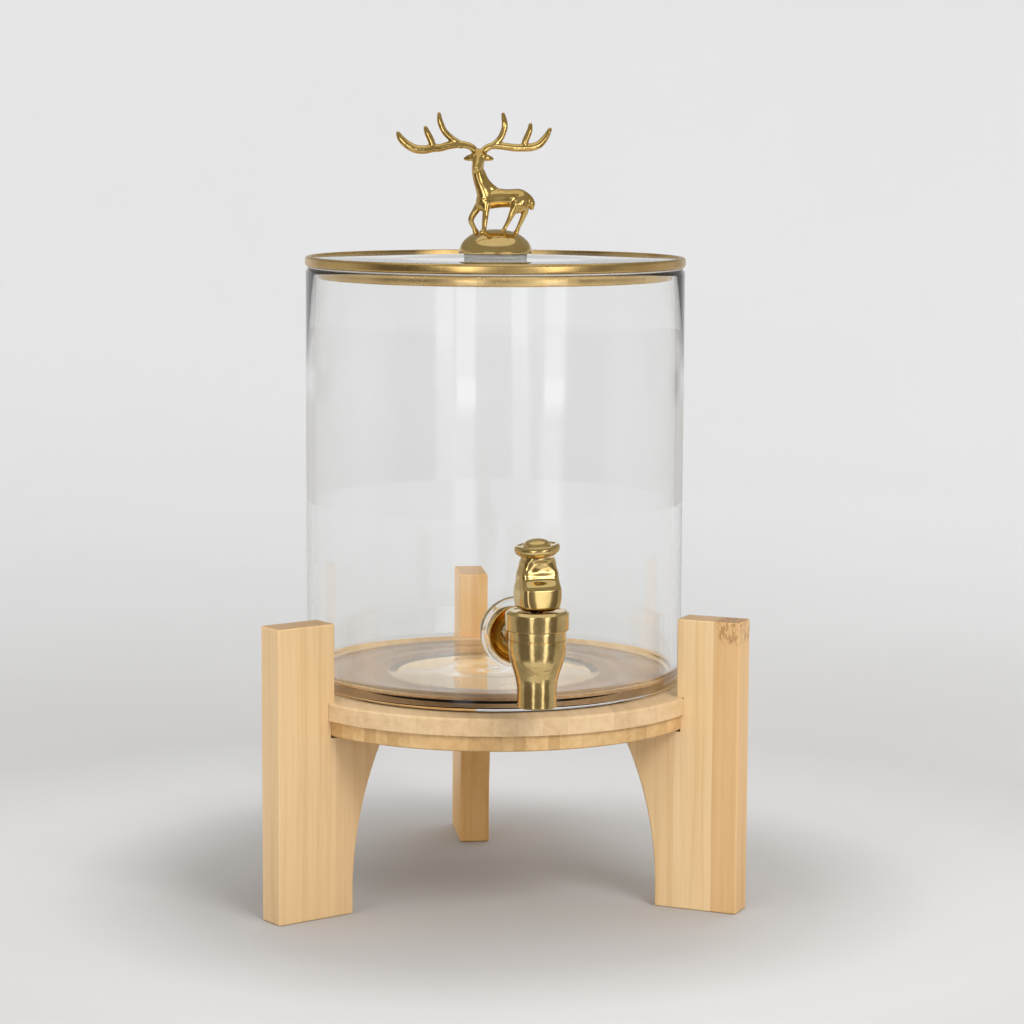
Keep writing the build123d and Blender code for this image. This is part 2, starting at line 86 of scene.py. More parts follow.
def middle_of(node):
    low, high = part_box(node)
    return (low + high) / 2


def turned(node):
    """A turned node's lower and upper height and its radius, in millimetres."""
    low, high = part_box(node)
    return low.z / MM, high.z / MM, high.x / MM


JOINTS = {joint["name"]: joint for joint in frame["joints"]}
lever_axis = Vector(JOINTS["lever_tilt"]["axis"])
tap_turn = math.atan2(lever_axis.y, lever_axis.x)
bonnet_middle = middle_of("tap_bonnet")
# The tap's own frame: z up its axis, +y towards the jar, heights as in the CAD frame
TAP = Matrix.Translation((bonnet_middle.x, bonnet_middle.y, 0)) @ Matrix.Rotation(tap_turn, 4, "Z")

jar_low, jar_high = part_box("jar")
JAR_R = (jar_high.x - jar_low.x) / 2
JAR_WALL = mm(4)
TAP_Z = middle_of("tap_rosette").z
# A turned piece in this frame has its z axis pointing straight out of the glass at the tap's hole
WALL = Matrix.Translation((0, -JAR_R, TAP_Z)) @ Matrix.Rotation(math.radians(90), 4, "X")
# The lid isn't screwed on, so it lies a little turned, and the stag with it
LID = Matrix.Rotation(math.radians(-7.3), 4, "Z")


# ---------------------------------------------------------------- mesh helpers

def new_object(name, bm):
    mesh = bpy.data.meshes.new(name)
    bmesh.ops.recalc_face_normals(bm, faces=bm.faces)
    bm.to_mesh(mesh)
    bm.free()
    piece = bpy.data.objects.new(name, mesh)
    bpy.context.scene.collection.objects.link(piece)
    return piece


def smooth(piece, angle=32):
    """Smooth shading with creases where faces meet at more than the angle in degrees."""
    mesh = piece.data
    mesh.polygons.foreach_set("use_smooth", [True] * len(mesh.polygons))
    mesh.set_sharp_from_angle(angle=math.radians(angle))
    return piece


def bake(piece):
    """Applies the piece's modifiers to its mesh."""
    graph = bpy.context.evaluated_depsgraph_get()
    mesh = bpy.data.meshes.new_from_object(piece.evaluated_get(graph))
    piece.modifiers.clear()
    piece.data = mesh
    return piece


def combine(piece, tool, operation):
    """Joins, cuts or keeps the common part of two closed pieces. The tool is used up."""
    modifier = piece.modifiers.new("combine", "BOOLEAN")
    modifier.operation = operation
    modifier.solver = "EXACT"
    modifier.object = tool
    bake(piece)
    bpy.data.objects.remove(tool)
    return piece


def softened(corners, steps=5):
    """An outline in metres from (radius, height, rounding) corners in millimetres.

    A rounding takes at most 0.48 of the side before and after it, so two roundings never meet.
    """
    outline = []
    count = len(corners)
    for i, (x, y, radius) in enumerate(corners):
        here = Vector((x, y))
        back = Vector(corners[i - 1][:2]) - here
        ahead = Vector(corners[(i + 1) % count][:2]) - here
        if radius <= 0 or back.length < 1e-6 or ahead.length < 1e-6:
            outline.append(mm(x, y))
            continue
        u = back.normalized()
        v = ahead.normalized()
        half = u.angle(v) / 2
        reach = min(radius / math.tan(half), 0.48 * back.length, 0.48 * ahead.length)
        radius = reach * math.tan(half)
        centre = here + (u + v).normalized() * (radius / math.sin(half))
        start = here + u * reach - centre
        end = here + v * reach - centre
        for step in range(steps + 1):
            spoke = start.slerp(end, step / steps).normalized() * radius
            outline.append(mm(centre.x + spoke.x, centre.y + spoke.y))
    return outline


def lathe(name, outline, matrix=None, sides=SIDES):
    """A closed outline of (radius, height) in metres, turned about z and put in place."""
    bm = bmesh.new()
    rings = []
    for radius, height in outline:
        if radius < ON_AXIS:
            rings.append([bm.verts.new((0, 0, height))])
            continue
        turns = [TAU * i / sides for i in range(sides)]
        rings.append([bm.verts.new((radius * math.cos(a), radius * math.sin(a), height)) for a in turns])
    for lower, upper in zip(rings, rings[1:] + rings[:1]):
        if len(lower) == len(upper) == 1:
            continue
        for i in range(sides):
            j = (i + 1) % sides
            corners = [lower[i % len(lower)], lower[j % len(lower)],
                       upper[j % len(upper)], upper[i % len(upper)]]
            bm.faces.new(list(dict.fromkeys(corners)))
    if matrix is not None:
        bmesh.ops.transform(bm, matrix=matrix, verts=bm.verts)
    return smooth(new_object(name, bm))


def skin(bm, rings):
    """Faces between neighbouring rings of vertices, with a cap at each end."""
    count = len(rings[0])
    for lower, upper in zip(rings, rings[1:]):
        for i in range(count):
            j = (i + 1) % count
            bm.faces.new((lower[i], lower[j], upper[j], upper[i]))
    bm.faces.new(list(reversed(rings[0])))
    bm.faces.new(rings[-1])


def spline(points, steps):
    """A Catmull-Rom curve through points of any dimension."""
    before = [2 * a - b for a, b in zip(points[0], points[1])]
    after = [2 * a - b for a, b in zip(points[-1], points[-2])]
    knots = [before] + [list(point) for point in points] + [after]
    curve = []
    for i in range(1, len(knots) - 2):
        for step in range(steps):
            t = step / steps
            blend = (
                -0.5 * t + t * t - 0.5 * t ** 3,
                1 - 2.5 * t * t + 1.5 * t ** 3,
                0.5 * t + 2 * t * t - 1.5 * t ** 3,
                -0.5 * t * t + 0.5 * t ** 3,
            )
            near = knots[i - 1:i + 3]
            curve.append([sum(w * knot[k] for w, knot in zip(blend, near)) for k in range(len(knots[0]))])
    curve.append(list(points[-1]))
    return curve


# The rings of a tube's round end: how far out each lies and how wide it is, in radii
ROUND_END = [(0.95, 0.31), (0.8, 0.6), (0.5, 0.87)]


def tube(bm, path, sides=14):
    """A round tube along (x, y, z, radius) points in metres, with round ends."""
    points = [Vector(p[:3]) for p in path]
    radii = [p[3] for p in path]
    rings = []
    side = None
    for i, centre in enumerate(points):
        ahead = points[min(i + 1, len(points) - 1)] - points[max(i - 1, 0)]
        ahead.normalize()
        if side is None:
            side = ahead.orthogonal().normalized()
        side = (side - ahead * side.dot(ahead)).normalized()
        other = ahead.cross(side)
        stations = [(0.0, 1.0)]
        if i == 0:
            stations = [(-along, share) for along, share in ROUND_END] + stations
        elif i == len(points) - 1:
            stations = stations + ROUND_END[::-1]
        for along, share in stations:
            middle = centre + ahead * (along * radii[i])
            reach = radii[i] * share
            rings.append([bm.verts.new(middle + side * (reach * math.cos(TAU * k / sides))
                                       + other * (reach * math.sin(TAU * k / sides)))
                          for k in range(sides)])
    skin(bm, rings)


def limb(bm, *stations, steps=6):
    """A round limb through (x, y, z, radius) stations in millimetres."""
    tube(bm, [[value * MM for value in point] for point in spline(stations, steps)])


def ball(bm, centre, radii, turn=(0, 0, 0)):
    """An ellipsoid in millimetres, turned by Euler angles in degrees."""
    place = Matrix.Translation(mm(*centre))
    place = place @ Matrix.Rotation(math.radians(turn[2]), 4, "Z")
    place = place @ Matrix.Rotation(math.radians(turn[1]), 4, "Y")
    place = place @ Matrix.Rotation(math.radians(turn[0]), 4, "X")
    place = place @ Matrix.Diagonal((*mm(*radii), 1))
    bmesh.ops.create_uvsphere(bm, u_segments=24, v_segments=16, radius=1, matrix=place)


def prism(name, outline, low, high, matrix=None):
    """An outline of (x, y) in metres, raised from one height to another."""
    bm = bmesh.new()
    rings = [[bm.verts.new((x, y, z)) for x, y in outline] for z in (low, high)]
    skin(bm, rings)
    if matrix is not None:
        bmesh.ops.transform(bm, matrix=matrix, verts=bm.verts)
    return new_object(name, bm)


# ---------------------------------------------------------------- materials

class Nodes:
    """A short way to write a material's node tree."""

    def __init__(self, name):
        self.material = bpy.data.materials.new(name)
        self.material.use_nodes = True
        self.tree = self.material.node_tree
        self.tree.nodes.clear()
        self.output = self.tree.nodes.new("ShaderNodeOutputMaterial")

    def add(self, kind, inputs=(), **settings):
        node = self.tree.nodes.new("ShaderNode" + kind)
        for key, value in settings.items():
            setattr(node, key, value)
        for key, value in dict(inputs).items():
            if isinstance(value, bpy.types.NodeSocket):
                self.tree.links.new(value, node.inputs[key])
            else:
                node.inputs[key].default_value = value
        return node

    def math(self, operation, a, b=0.0):
        return self.add("Math", {0: a, 1: b}, operation=operation).outputs[0]

    def ramp(self, factor, stops):
        """A colour ramp through (place, colour) stops."""
        node = self.add("ValToRGB", {0: factor})
        elements = node.color_ramp.elements
        while len(elements) < len(stops):
            elements.new(0.5)
        for element, (place, colour) in zip(elements, stops):
            element.position = place
            element.color = (*colour, 1) if len(colour) == 3 else colour
        return node.outputs[0]

    def span(self, value, low, high, to_low=0.0, to_high=1.0):
        """The value mapped from low..high on to to_low..to_high, and held at both ends."""
        inputs = {0: value, 1: low, 2: high, 3: to_low, 4: to_high}
        return self.add("MapRange", inputs, clamp=True).outputs[0]

    def mix(self, factor, a, b, blend="MIX"):
        node = self.add("Mix", data_type="RGBA", blend_type=blend)
        for socket, value in zip((node.inputs[0], node.inputs[6], node.inputs[7]), (factor, a, b)):
            if isinstance(value, bpy.types.NodeSocket):
                self.tree.links.new(value, socket)
            else:
                socket.default_value = value
        return node.outputs[2]

    def place(self, scale=(1, 1, 1)):
        """Object coordinates, scaled."""
        coords = self.add("TexCoord").outputs["Object"]
        return self.add("Mapping", {"Vector": coords, "Scale": scale}).outputs[0]

    def noise(self, vector, scale, detail=2.0, rough=0.5):
        inputs = {"Vector": vector, "Scale": scale, "Detail": detail, "Roughness": rough}
        return self.add("TexNoise", inputs).outputs["Fac"]

    def finish(self, shader):
        self.tree.links.new(shader, self.output.inputs["Surface"])
        return self.material

    def surface(self, colour, roughness, relief, more):
        """The finished material of a solid. relief is a bump's strength, distance and height."""
        bump = self.add("Bump", dict(zip(("Strength", "Distance", "Height"), relief)))
        shader = self.add("BsdfPrincipled", {
            "Base Color": colour, "Roughness": roughness, "Normal": bump.outputs[0], **more})
        return self.finish(shader.outputs[0])


def gold_material(name, dark, light, rough, wave, cloud, speck=0.0):
    """Plated metal: tone and polish drift a little, and the casting isn't quite true.

    wave is how strong its unevenness is, cloud how fine, and speck adds finer grain on top.
    """
    n = Nodes(name)
    where = n.place()
    drift = n.noise(where, cloud, 3.0)
    fine = n.noise(where, 520.0, 2.0)
    colour = n.ramp(drift, [(0.3, dark), (0.7, light)])
    roughness = n.span(n.math("ADD", drift, n.math("MULTIPLY", fine, 0.4)), 0.4, 1.0, rough[0], rough[1])
    height = n.math("ADD", drift, n.math("MULTIPLY", fine, speck))
    return n.surface(colour, roughness, (wave, 0.0006, height), {"Metallic": 1.0})


MANY_TURNS = 6.5         # light bent or mirrored more often than this goes straight on


def glass_material(name, tint, ior=1.5, rough=(0.0, 0.004), streak=0.0):
    """Clear glass that lets the lamps' light through to what stands behind it."""
    n = Nodes(name)
    where = n.place((1, 1, 0.12))
    drift = n.noise(where, 26.0, 2.0)
    roughness = n.span(drift, 0.35, 0.75, rough[0], rough[1])
    colour = n.ramp(drift, [(0.3, tint), (0.8, tuple(min(1.0, c * 1.01) for c in tint))])
    bump = n.add("Bump", {"Strength": streak, "Distance": 0.001, "Height": drift})
    clear = n.add("BsdfPrincipled", {
        "Base Color": colour, "Transmission Weight": 1.0, "Roughness": roughness, "IOR": ior,
        "Normal": bump.outputs[0]})
    through = n.add("BsdfTransparent", {"Color": (*tint, 1)})
    path = n.add("LightPath")
    # without this the light would be lost inside the heel, and the heel would be black
    tired = n.math("GREATER_THAN", path.outputs["Ray Depth"], MANY_TURNS)
    plain = n.math("MAXIMUM", path.outputs["Is Shadow Ray"], tired)
    mixed = n.add("MixShader", {0: plain, 1: clear.outputs[0], 2: through.outputs[0]})
    return n.finish(mixed.outputs[0])


def silicone_material(name, tint, clear):
    """Milky rubber with a fine dull skin. clear is how much light goes through it."""
    n = Nodes(name)
    where = n.place()
    cloud = n.noise(where, 160.0, 3.0)
    fine = n.noise(where, 2400.0, 2.0)
    colour = n.ramp(cloud, [(0.3, tuple(c * 0.93 for c in tint)), (0.7, tint)])
    roughness = n.span(fine, 0.3, 0.7, 0.22, 0.4)
    milk = {"Transmission Weight": clear, "IOR": 1.41}
    return n.surface(colour, roughness, (0.15, 0.0002, fine), milk)


def steel_material(name, tone, rough):
    """Plain metal with fine turning marks round its axis."""
    n = Nodes(name)
    where = n.place((1, 1, 14))
    lines = n.noise(where, 700.0, 3.0)
    colour = n.ramp(lines, [(0.3, tuple(c * 0.86 for c in tone)), (0.7, tone)])
    roughness = n.span(lines, 0.3, 0.7, rough, rough + 0.16)
    return n.surface(colour, roughness, (0.12, 0.0002, lines), {"Metallic": 1.0})


def bamboo_material(name, turn, along, across, strip, tones, contrast=1.0, blocks=0.5, outer=None):
    """Oiled bamboo strips. along is the grain's axis and across the axis the strips are counted on.

    turn is in degrees about z and strip is one strip's width. contrast is how dark the fibres
    are and blocks how much the strips differ. outer is the place and top of a leg's last strip,
    which is darker and freckled at its top.
    """
    n = Nodes(name)
    coords = n.add("TexCoord").outputs["Object"]
    local = n.add("Mapping", {"Vector": coords, "Rotation": (0, 0, math.radians(turn))}).outputs[0]
    axes = n.add("SeparateXYZ", {0: local}).outputs
    count = n.math("MULTIPLY", axes[across], 1.0 / strip)
    number = n.math("FLOOR", count)
    inside = n.math("SUBTRACT", count, number)
    shade = n.add("TexWhiteNoise", {"W": number}, noise_dimensions="1D").outputs["Value"]
    # each strip is cut from another culm, so its fibres start somewhere else
    jump = n.math("MULTIPLY", shade, 7.0)
    shifted = n.add("CombineXYZ", {i: (n.math("ADD", axes[i], jump) if i == along else axes[i])
                                   for i in range(3)}).outputs[0]
    stretch = [1.0, 1.0, 1.0]
    stretch[along] = 0.022
    lines = n.add("Mapping", {"Vector": shifted, "Scale": stretch}).outputs[0]
    broad = n.noise(lines, 260.0, 3.0, 0.6)
    fibre = n.noise(lines, 1150.0, 3.0, 0.65)
    pale, mid, deep = tones
    tone = n.ramp(broad, [(0.25, deep), (0.5, mid), (0.78, pale)])
    dark_line = tuple(1 - (1 - c) * 0.45 * contrast for c in mid)
    lined = n.ramp(fibre, [(0.32, dark_line), (0.6, (1, 1, 1))])
    colour = n.mix(0.6, tone, lined, "MULTIPLY")
    by_strip = n.ramp(shade, [
        (0.0, (0.78, 0.72, 0.62)), (0.5, (0.97, 0.96, 0.94)), (1.0, (1.05, 1.05, 1.05))])
    colour = n.mix(blocks, colour, by_strip, "MULTIPLY")
    edge = n.math("MINIMUM", inside, n.math("SUBTRACT", 1.0, inside))
    glue = n.span(edge, 0.0, 0.02, 0.2, 0.0)
    colour = n.mix(glue, colour, (*[c * 0.6 for c in deep], 1))
    if outer:
        strip_x, top = outer
        last_strip = n.span(axes[X], strip_x - mm(0.2), strip_x + mm(0.2), 0.0, 0.8)
        colour = n.mix(last_strip, colour, (0.82, 0.70, 0.56, 1), "MULTIPLY")
        colour = freckle(n, colour, axes, strip_x, top)
    if along == Z:
        facing = n.add("SeparateXYZ", {0: n.add("NewGeometry").outputs["Normal"]}).outputs[Z]
        end_grain = n.span(n.math("ABSOLUTE", facing), 0.75, 0.85)
        colour = n.mix(end_grain, colour, (0.62, 0.56, 0.50, 1), "MULTIPLY")
    roughness = n.span(fibre, 0.3, 0.7, 0.38, 0.54)
    height = n.math("ADD", n.math("MULTIPLY", fibre, 0.6), n.math("MULTIPLY", glue, -1.2))
    coat = {"Coat Weight": 0.08, "Coat Roughness": 0.3}
    return n.surface(colour, roughness, (0.25, 0.0002, height), coat)


def freckle(n, colour, axes, strip_x, top):
    """Dense orange-brown flecks in the top 10 mm of a strip, where a culm's joint crosses it."""
    spots = n.add("CombineXYZ", {axis: n.math("MULTIPLY", axes[axis], scale)
                                 for axis, scale in ((X, 900.0), (Y, 900.0), (Z, 330.0))}).outputs[0]
    flecks = n.span(n.noise(spots, 1.0, 2.0, 0.6), 0.46, 0.60)
    box = n.math("MULTIPLY", n.span(axes[X], strip_x, strip_x + mm(1)),
                 n.span(axes[Z], top - mm(11), top - mm(9)))
    amount = n.math("MULTIPLY", n.math("MULTIPLY", flecks, box), 0.62)
    return n.mix(amount, colour, (0.30, 0.130, 0.035, 1))


# pale, middle and deep tone of each bamboo
LEFT_TONES = ((0.810, 0.580, 0.325), (0.775, 0.535, 0.280), (0.710, 0.460, 0.220))
RIGHT_TONES = ((0.900, 0.665, 0.385), (0.860, 0.615, 0.330), (0.790, 0.535, 0.260))
# the rear leg's tones are more orange and saturated than the others: partly its own tone, partly painted
# warm light bounced into the shade under the shelf
REAR_TONES = ((0.970, 0.640, 0.270), (0.940, 0.580, 0.225), (0.860, 0.480, 0.165))
DISC_TONES = ((0.800, 0.585, 0.355), (0.745, 0.530, 0.300), (0.670, 0.450, 0.240))
LOW_TONES = ((0.760, 0.520, 0.250), (0.680, 0.440, 0.195), (0.580, 0.350, 0.140))

GOLD = gold_material(
    "polished_gold", (0.60, 0.42, 0.155), (0.78, 0.575, 0.245), (0.07, 0.15), 0.12, 90.0)
BARREL_GOLD = gold_material(
    "barrel_gold", (0.60, 0.425, 0.165), (0.80, 0.60, 0.27), (0.08, 0.17), 0.16, 120.0, 0.7)
ROSETTE_GOLD = gold_material(
    "deep_gold", (0.66, 0.38, 0.08), (0.80, 0.50, 0.13), (0.08, 0.16), 0.12, 90.0)
CAST_GOLD = gold_material(
    "cast_gold", (0.58, 0.385, 0.115), (0.80, 0.565, 0.21), (0.08, 0.18), 0.24, 150.0, 0.4)
SATIN_GOLD = gold_material(
    "satin_gold", (0.54, 0.35, 0.12), (0.78, 0.55, 0.225), (0.22, 0.32), 0.10, 40.0)
GLASS = glass_material("jar_glass", (0.985, 0.99, 0.985), ior=1.42, streak=0.05)
LID_GLASS = glass_material("lid_glass", (0.97, 0.985, 0.98), streak=0.02)
ACRYLIC = silicone_material("frosted_washer", (0.93, 0.93, 0.92), 0.3)
SILICONE = glass_material(
    "clear_silicone", (0.95, 0.955, 0.96), ior=1.2, rough=(0.06, 0.14), streak=0.03)
SEAL_SILICONE = silicone_material("seal_silicone", (0.74, 0.71, 0.66), 0.1)
SOFT_PLUG = silicone_material("plug_silicone", (0.72, 0.73, 0.73), 0.2)
STEEL = steel_material("stainless_steel", (0.66, 0.66, 0.67), 0.18)
ZINC = steel_material("zinc_plate", (0.66, 0.62, 0.52), 0.28)

LEG_STRIP, TOP_STRIP, LOW_STRIP, DOWEL_STRIP = mm(19.13, 11.3, 5.2, 40)
# a leg's turn brings its own outward direction on to x, which is 6 strips out at its outer strip
OUTER_STRIP = (6 * LEG_STRIP, high_of("leg_right").z)
leg_materials = {
    "leg_left": bamboo_material("bamboo_left", -210, Z, X, LEG_STRIP, LEFT_TONES, 0.7, 0.3),
    "leg_right": bamboo_material(
        "bamboo_right", -330, Z, X, LEG_STRIP, RIGHT_TONES, 0.7, 0.3, OUTER_STRIP),
    "leg_rear": bamboo_material("bamboo_rear", -90, Z, X, LEG_STRIP, REAR_TONES, 0.9, 0.4),
}
DISC_TOP = bamboo_material("bamboo_disc_top", 0, Y, X, TOP_STRIP, DISC_TONES, 0.35, 0.4)
DISC_LOW = bamboo_material("bamboo_disc_low", 4, Y, X, LOW_STRIP, LOW_TONES, 0.35, 0.9)
DOWEL = bamboo_material("dowel_wood", 0, Z, X, DOWEL_STRIP, LEFT_TONES)


# ---------------------------------------------------------------- putting pieces on the frame

def paint(piece, material):
    piece.data.materials.clear()
    piece.data.materials.append(material)


def settle(piece, body, slot, material, *nodes):
    """Gives a new piece its material and body, and hides the CAD nodes it stands for. The finish slot is
    not used.
    """
    paint(piece, material)
    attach(piece, body)
    if nodes:
        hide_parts(*nodes)
    return piece


def repaint(material, *nodes):
    """CAD nodes whose shape is right get a finished material in their slots."""
    for node in nodes:
        for slot in frame["nodes"][node].material_slots:
            slot.material = material


# ---------------------------------------------------------------- stand

for leg, bamboo in leg_materials.items():
    repaint(bamboo, leg)
repaint(DISC_TOP, "shelf_top")
repaint(DISC_LOW, "shelf_bottom")
repaint(DOWEL, "leg_dowels")
repaint(ZINC, "shelf_screws")


# ---------------------------------------------------------------- jar

def jar_outline():
    """The wall, with a fire-polished lip, a rounded heel and faint rings pressed in the base."""
    ripple, corner, heel = mm(0.16, 4.5, 3.6)
    floor_z = jar_low.z + mm(5.2)
    heel_z = jar_low.z + heel
    half_wall = JAR_WALL / 2
    lip = jar_high.z - half_wall
    inner = JAR_R - JAR_WALL
    flat = inner - corner
    outline = []
    for step in range(61):
        radius = flat * step / 60
        fade = min(1.0, (flat - radius) / mm(12))
        wave = ripple * fade * math.sin(radius / mm(2.6)) * (0.5 + 0.5 * math.sin(radius / mm(9)))
        outline.append((radius, floor_z + wave))
    quarter = [math.pi / 2 * step / 12 for step in range(13)]
    outline += [(flat + corner * math.sin(angle), floor_z + corner * (1 - math.cos(angle)))
                for angle in quarter[1:]]
    outline += [(inner, floor_z + (lip - floor_z) * share) for share in (0.25, 0.5, 0.75)]
    outline += [(JAR_R - half_wall - half_wall * math.cos(2 * angle), lip + half_wall * math.sin(2 * angle))
                for angle in quarter]
    outline += [(JAR_R, heel_z + (lip - heel_z) * share) for share in (0.75, 0.5, 0.25)]
    outline += [(JAR_R - heel + heel * math.cos(angle), heel_z - heel * math.sin(angle))
                for angle in quarter]
    # the shallow hollow under the base
    outline += [(mm(radius), jar_low.z + mm(rise)) for radius, rise in (
        (51, 0), (49.6, 0.15), (46.4, 1.05), (45, 1.2), (0, 1.2))]
    return outline


def rod(name, radius, low, high, matrix, sides):
    """A solid cylinder in millimetres, to cut a hole with."""
    corners = [(0, low), (radius, low), (radius, high), (0, high)]
    return lathe(name, [mm(*corner) for corner in corners], matrix, sides)


jar = lathe("jar_glass", jar_outline(), sides=JAR_SIDES)
combine(jar, rod("drill", 8, -20, 20, WALL, 64), "DIFFERENCE")
smooth(jar, 30)
settle(jar, "jar", "clear_glass", GLASS, "jar")


# ---------------------------------------------------------------- tap

# heights and lengths from here to the end of the lid are in millimetres
nozzle_z = low_of("tap_body").z / MM
joint_z = low_of("tap_bonnet").z / MM
bonnet_top = high_of("tap_bonnet").z / MM
# from the tap's axis to the glass, and how high the thread under the bonnet goes
reach = (Vector((bonnet_middle.x, bonnet_middle.y, 0)) - Vector((0, -JAR_R, 0))).length / MM
thread_top = joint_z + 4.8


def barrel_outline():
    """From the nozzle's lip up the outside in an S, round the chamber and down the bore."""
    mouth_r, belly_r, groove_r = 8.85, 12.95, 12.53
    thread_r, chamber_r, seat_r, bore_r = 11.3, 9.0, 4.5, 6.5
    low, high = nozzle_z + 7.5, joint_z - 7.0
    shoulder, groove = joint_z - 0.05, joint_z - 4.1
    seat_top, seat_low = joint_z - 17.3, joint_z - 20.8
    corners = [(bore_r, nozzle_z + 0.3, 0.25), (7.2, nozzle_z, 0.3), (mouth_r, nozzle_z, 0.7),
               (mouth_r, nozzle_z + 3, 0)]
    for step in range(25):
        share = step / 24
        curve = (1 - math.cos(math.pi * share)) / 2
        corners.append((mouth_r + (belly_r - mouth_r) * curve, low + (high - low) * share, 0))
    corners += [(belly_r, groove - 0.32, 0.12), (groove_r, groove - 0.14, 0.1),
                (groove_r, groove + 0.14, 0.1), (belly_r, groove + 0.32, 0.12),
                (belly_r, shoulder, 0.15), (thread_r, shoulder, 0), (thread_r, thread_top, 0.3),
                (chamber_r, thread_top, 0.3), (chamber_r, seat_top, 0), (seat_r, seat_top, 0.2),
                (seat_r, seat_low, 0), (bore_r, seat_low, 0.3)]
    return softened(corners, 4)


def shank_outline():
    """The neck from inside the barrel's wall, its round shoulder, and the threaded shank in the jar."""
    bore_r, shoulder_r, root_r, crest_r = 3.5, 7.6, 5.45, 5.95
    shoulder = reach - 8.2
    start, end = 9.6, reach + 17.2
    pitch = 1.25
    corners = [(bore_r, start, 0), (6.8, start, 0)]
    for step in range(9):
        angle = math.radians(-26 + 62 * step / 8)
        corners.append((shoulder_r * math.cos(angle), shoulder + shoulder_r * math.sin(angle), 0))
    crest = reach + 6.0
    corners += [(crest_r, shoulder + 5.4, 0), (crest_r, crest, 0)]
    while crest + pitch < end - 0.8:
        corners += [(root_r, crest + 0.35, 0), (root_r, crest + 0.5, 0),
                    (crest_r, crest + 0.9, 0), (crest_r, crest + 1.2, 0)]
        crest += pitch
    corners += [(5.5, end - 0.3, 0), (5.0, end, 0), (bore_r, end, 0)]
    return softened(corners, 3)


# A turned piece in this frame has its z axis pointing from the tap's axis into the jar
ALONG = TAP @ Matrix.Translation((0, 0, TAP_Z)) @ Matrix.Rotation(math.radians(-90), 4, "X")

barrel = lathe("tap_barrel", barrel_outline(), TAP)
combine(barrel, rod("passage", 3.45, 5, 15, ALONG, 48), "DIFFERENCE")
smooth(barrel, 34)
settle(barrel, "jar", "gold", BARREL_GOLD, "tap_body")
shank = lathe("tap_neck_and_shank", shank_outline(), ALONG, 96)
settle(shank, "jar", "gold", GOLD, "tap_body")

bonnet = lathe("tap_bonnet_cap", softened([
    (11.5, joint_z, 0), (13.7, joint_z, 0.1), (14.2, joint_z + 0.5, 0.25),
    (14.2, bonnet_top - 1.3, 0.5), (12.9, bonnet_top - 0.1, 0.5), (10.6, bonnet_top, 0.3),
    (10.3, bonnet_top - 0.35, 0.2), (3.2, bonnet_top - 0.35, 0.2), (2.9, bonnet_top, 0.2),
    (2.1, bonnet_top, 0.15), (2.1, bonnet_top - 2.7, 0), (11.5, bonnet_top - 2.7, 0)], 4), TAP)
settle(bonnet, "jar", "gold", BARREL_GOLD, "tap_bonnet")


def tap_nut():
    """A hexagon nut whose corners are turned off at both ends."""
    low, high = reach + 8.2, reach + 14.2
    radius = mm(10.9)
    hexagon = [(radius * math.cos(TAU * k / 6), radius * math.sin(TAU * k / 6)) for k in range(6)]
    nut = prism("tap_back_nut", hexagon, mm(low), mm(high), ALONG)
    envelope = lathe("envelope", softened([
        (6.0, low, 0.3), (9.6, low, 0.2), (11.2, low + 1.0, 0),
        (11.2, high - 1.0, 0), (9.6, high, 0.2), (6.0, high, 0.3)], 3), ALONG, 96)
    combine(nut, envelope, "INTERSECT")
    return smooth(nut, 24)


settle(tap_nut(), "jar", "gold", GOLD, "tap_nut")

rosette = lathe("tap_rosette_dish", softened([
    (7.6, 3.05, 0.2), (9.4, 3.05, 0.8), (11.6, 3.9, 1.5), (12.85, 5.9, 1.0), (13.0, 6.9, 0.3),
    (13.3, 7.6, 0.35), (13.05, 8.3, 0.35), (12.5, 8.35, 0.3), (12.15, 7.6, 0.5), (11.8, 6.5, 0.9),
    (10.8, 5.1, 1.5), (9.0, 4.3, 1.0), (7.6, 4.3, 0.2)], 6), WALL)
settle(rosette, "jar", "gold", ROSETTE_GOLD, "tap_rosette")


def follow_glass(piece, radius, depth):
    """Bends the back of a soft disc on to the round glass and leaves its front flat."""
    for vertex in piece.data.vertices:
        out = -JAR_R - vertex.co.y
        share = 1 - max(0.0, min(1.0, out / depth))
        vertex.co.y += share * (radius - math.sqrt(radius * radius - vertex.co.x ** 2))


washer = lathe("tap_outer_washer", softened([
    (7.5, 0, 0.2), (16.4, 0, 0.3), (16.4, 3.0, 0.9),
    (14.4, 3.0, 0.3), (13.9, 2.7, 0.3), (7.5, 2.7, 0.2)], 4), WALL)
follow_glass(washer, JAR_R, mm(3))
settle(washer, "jar", "clear_silicone", SILICONE, "tap_washer_outer")


spring_low, spring_high = low_of("tap_spring").z, high_of("tap_spring").z


def tap_spring():
    """A round-wire coil with closed ends, between the stem's collar and the bonnet."""
    bm = bmesh.new()
    wire, coil_r = mm(0.4, 4.4)
    low, high = spring_low + wire, spring_high - wire
    turns, steps = 7.0, 168
    closed = 0.09            # the share of the wire that lies flat at each end
    path = []
    for step in range(steps + 1):
        share = step / steps
        angle = TAU * turns * share
        rise = min(1.0, max(0.0, (share - closed) / (1 - 2 * closed)))
        path.append((coil_r * math.cos(angle), coil_r * math.sin(angle), low + (high - low) * rise, wire))
    tube(bm, path, 10)
    bmesh.ops.transform(bm, matrix=TAP, verts=bm.verts)
    return smooth(new_object("tap_coil_spring", bm), 60)


spring = settle(tap_spring(), "jar", "steel", STEEL, "tap_spring")
lift = JOINTS["valve_lift"]["range_m"][1]
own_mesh(spring)

repaint(SOFT_PLUG, "tap_bonnet_oring", "tap_seal")
repaint(STEEL, "tap_stem", "tap_pin")
repaint(SILICONE, "tap_washer_inner")


# ---------------------------------------------------------------- lever

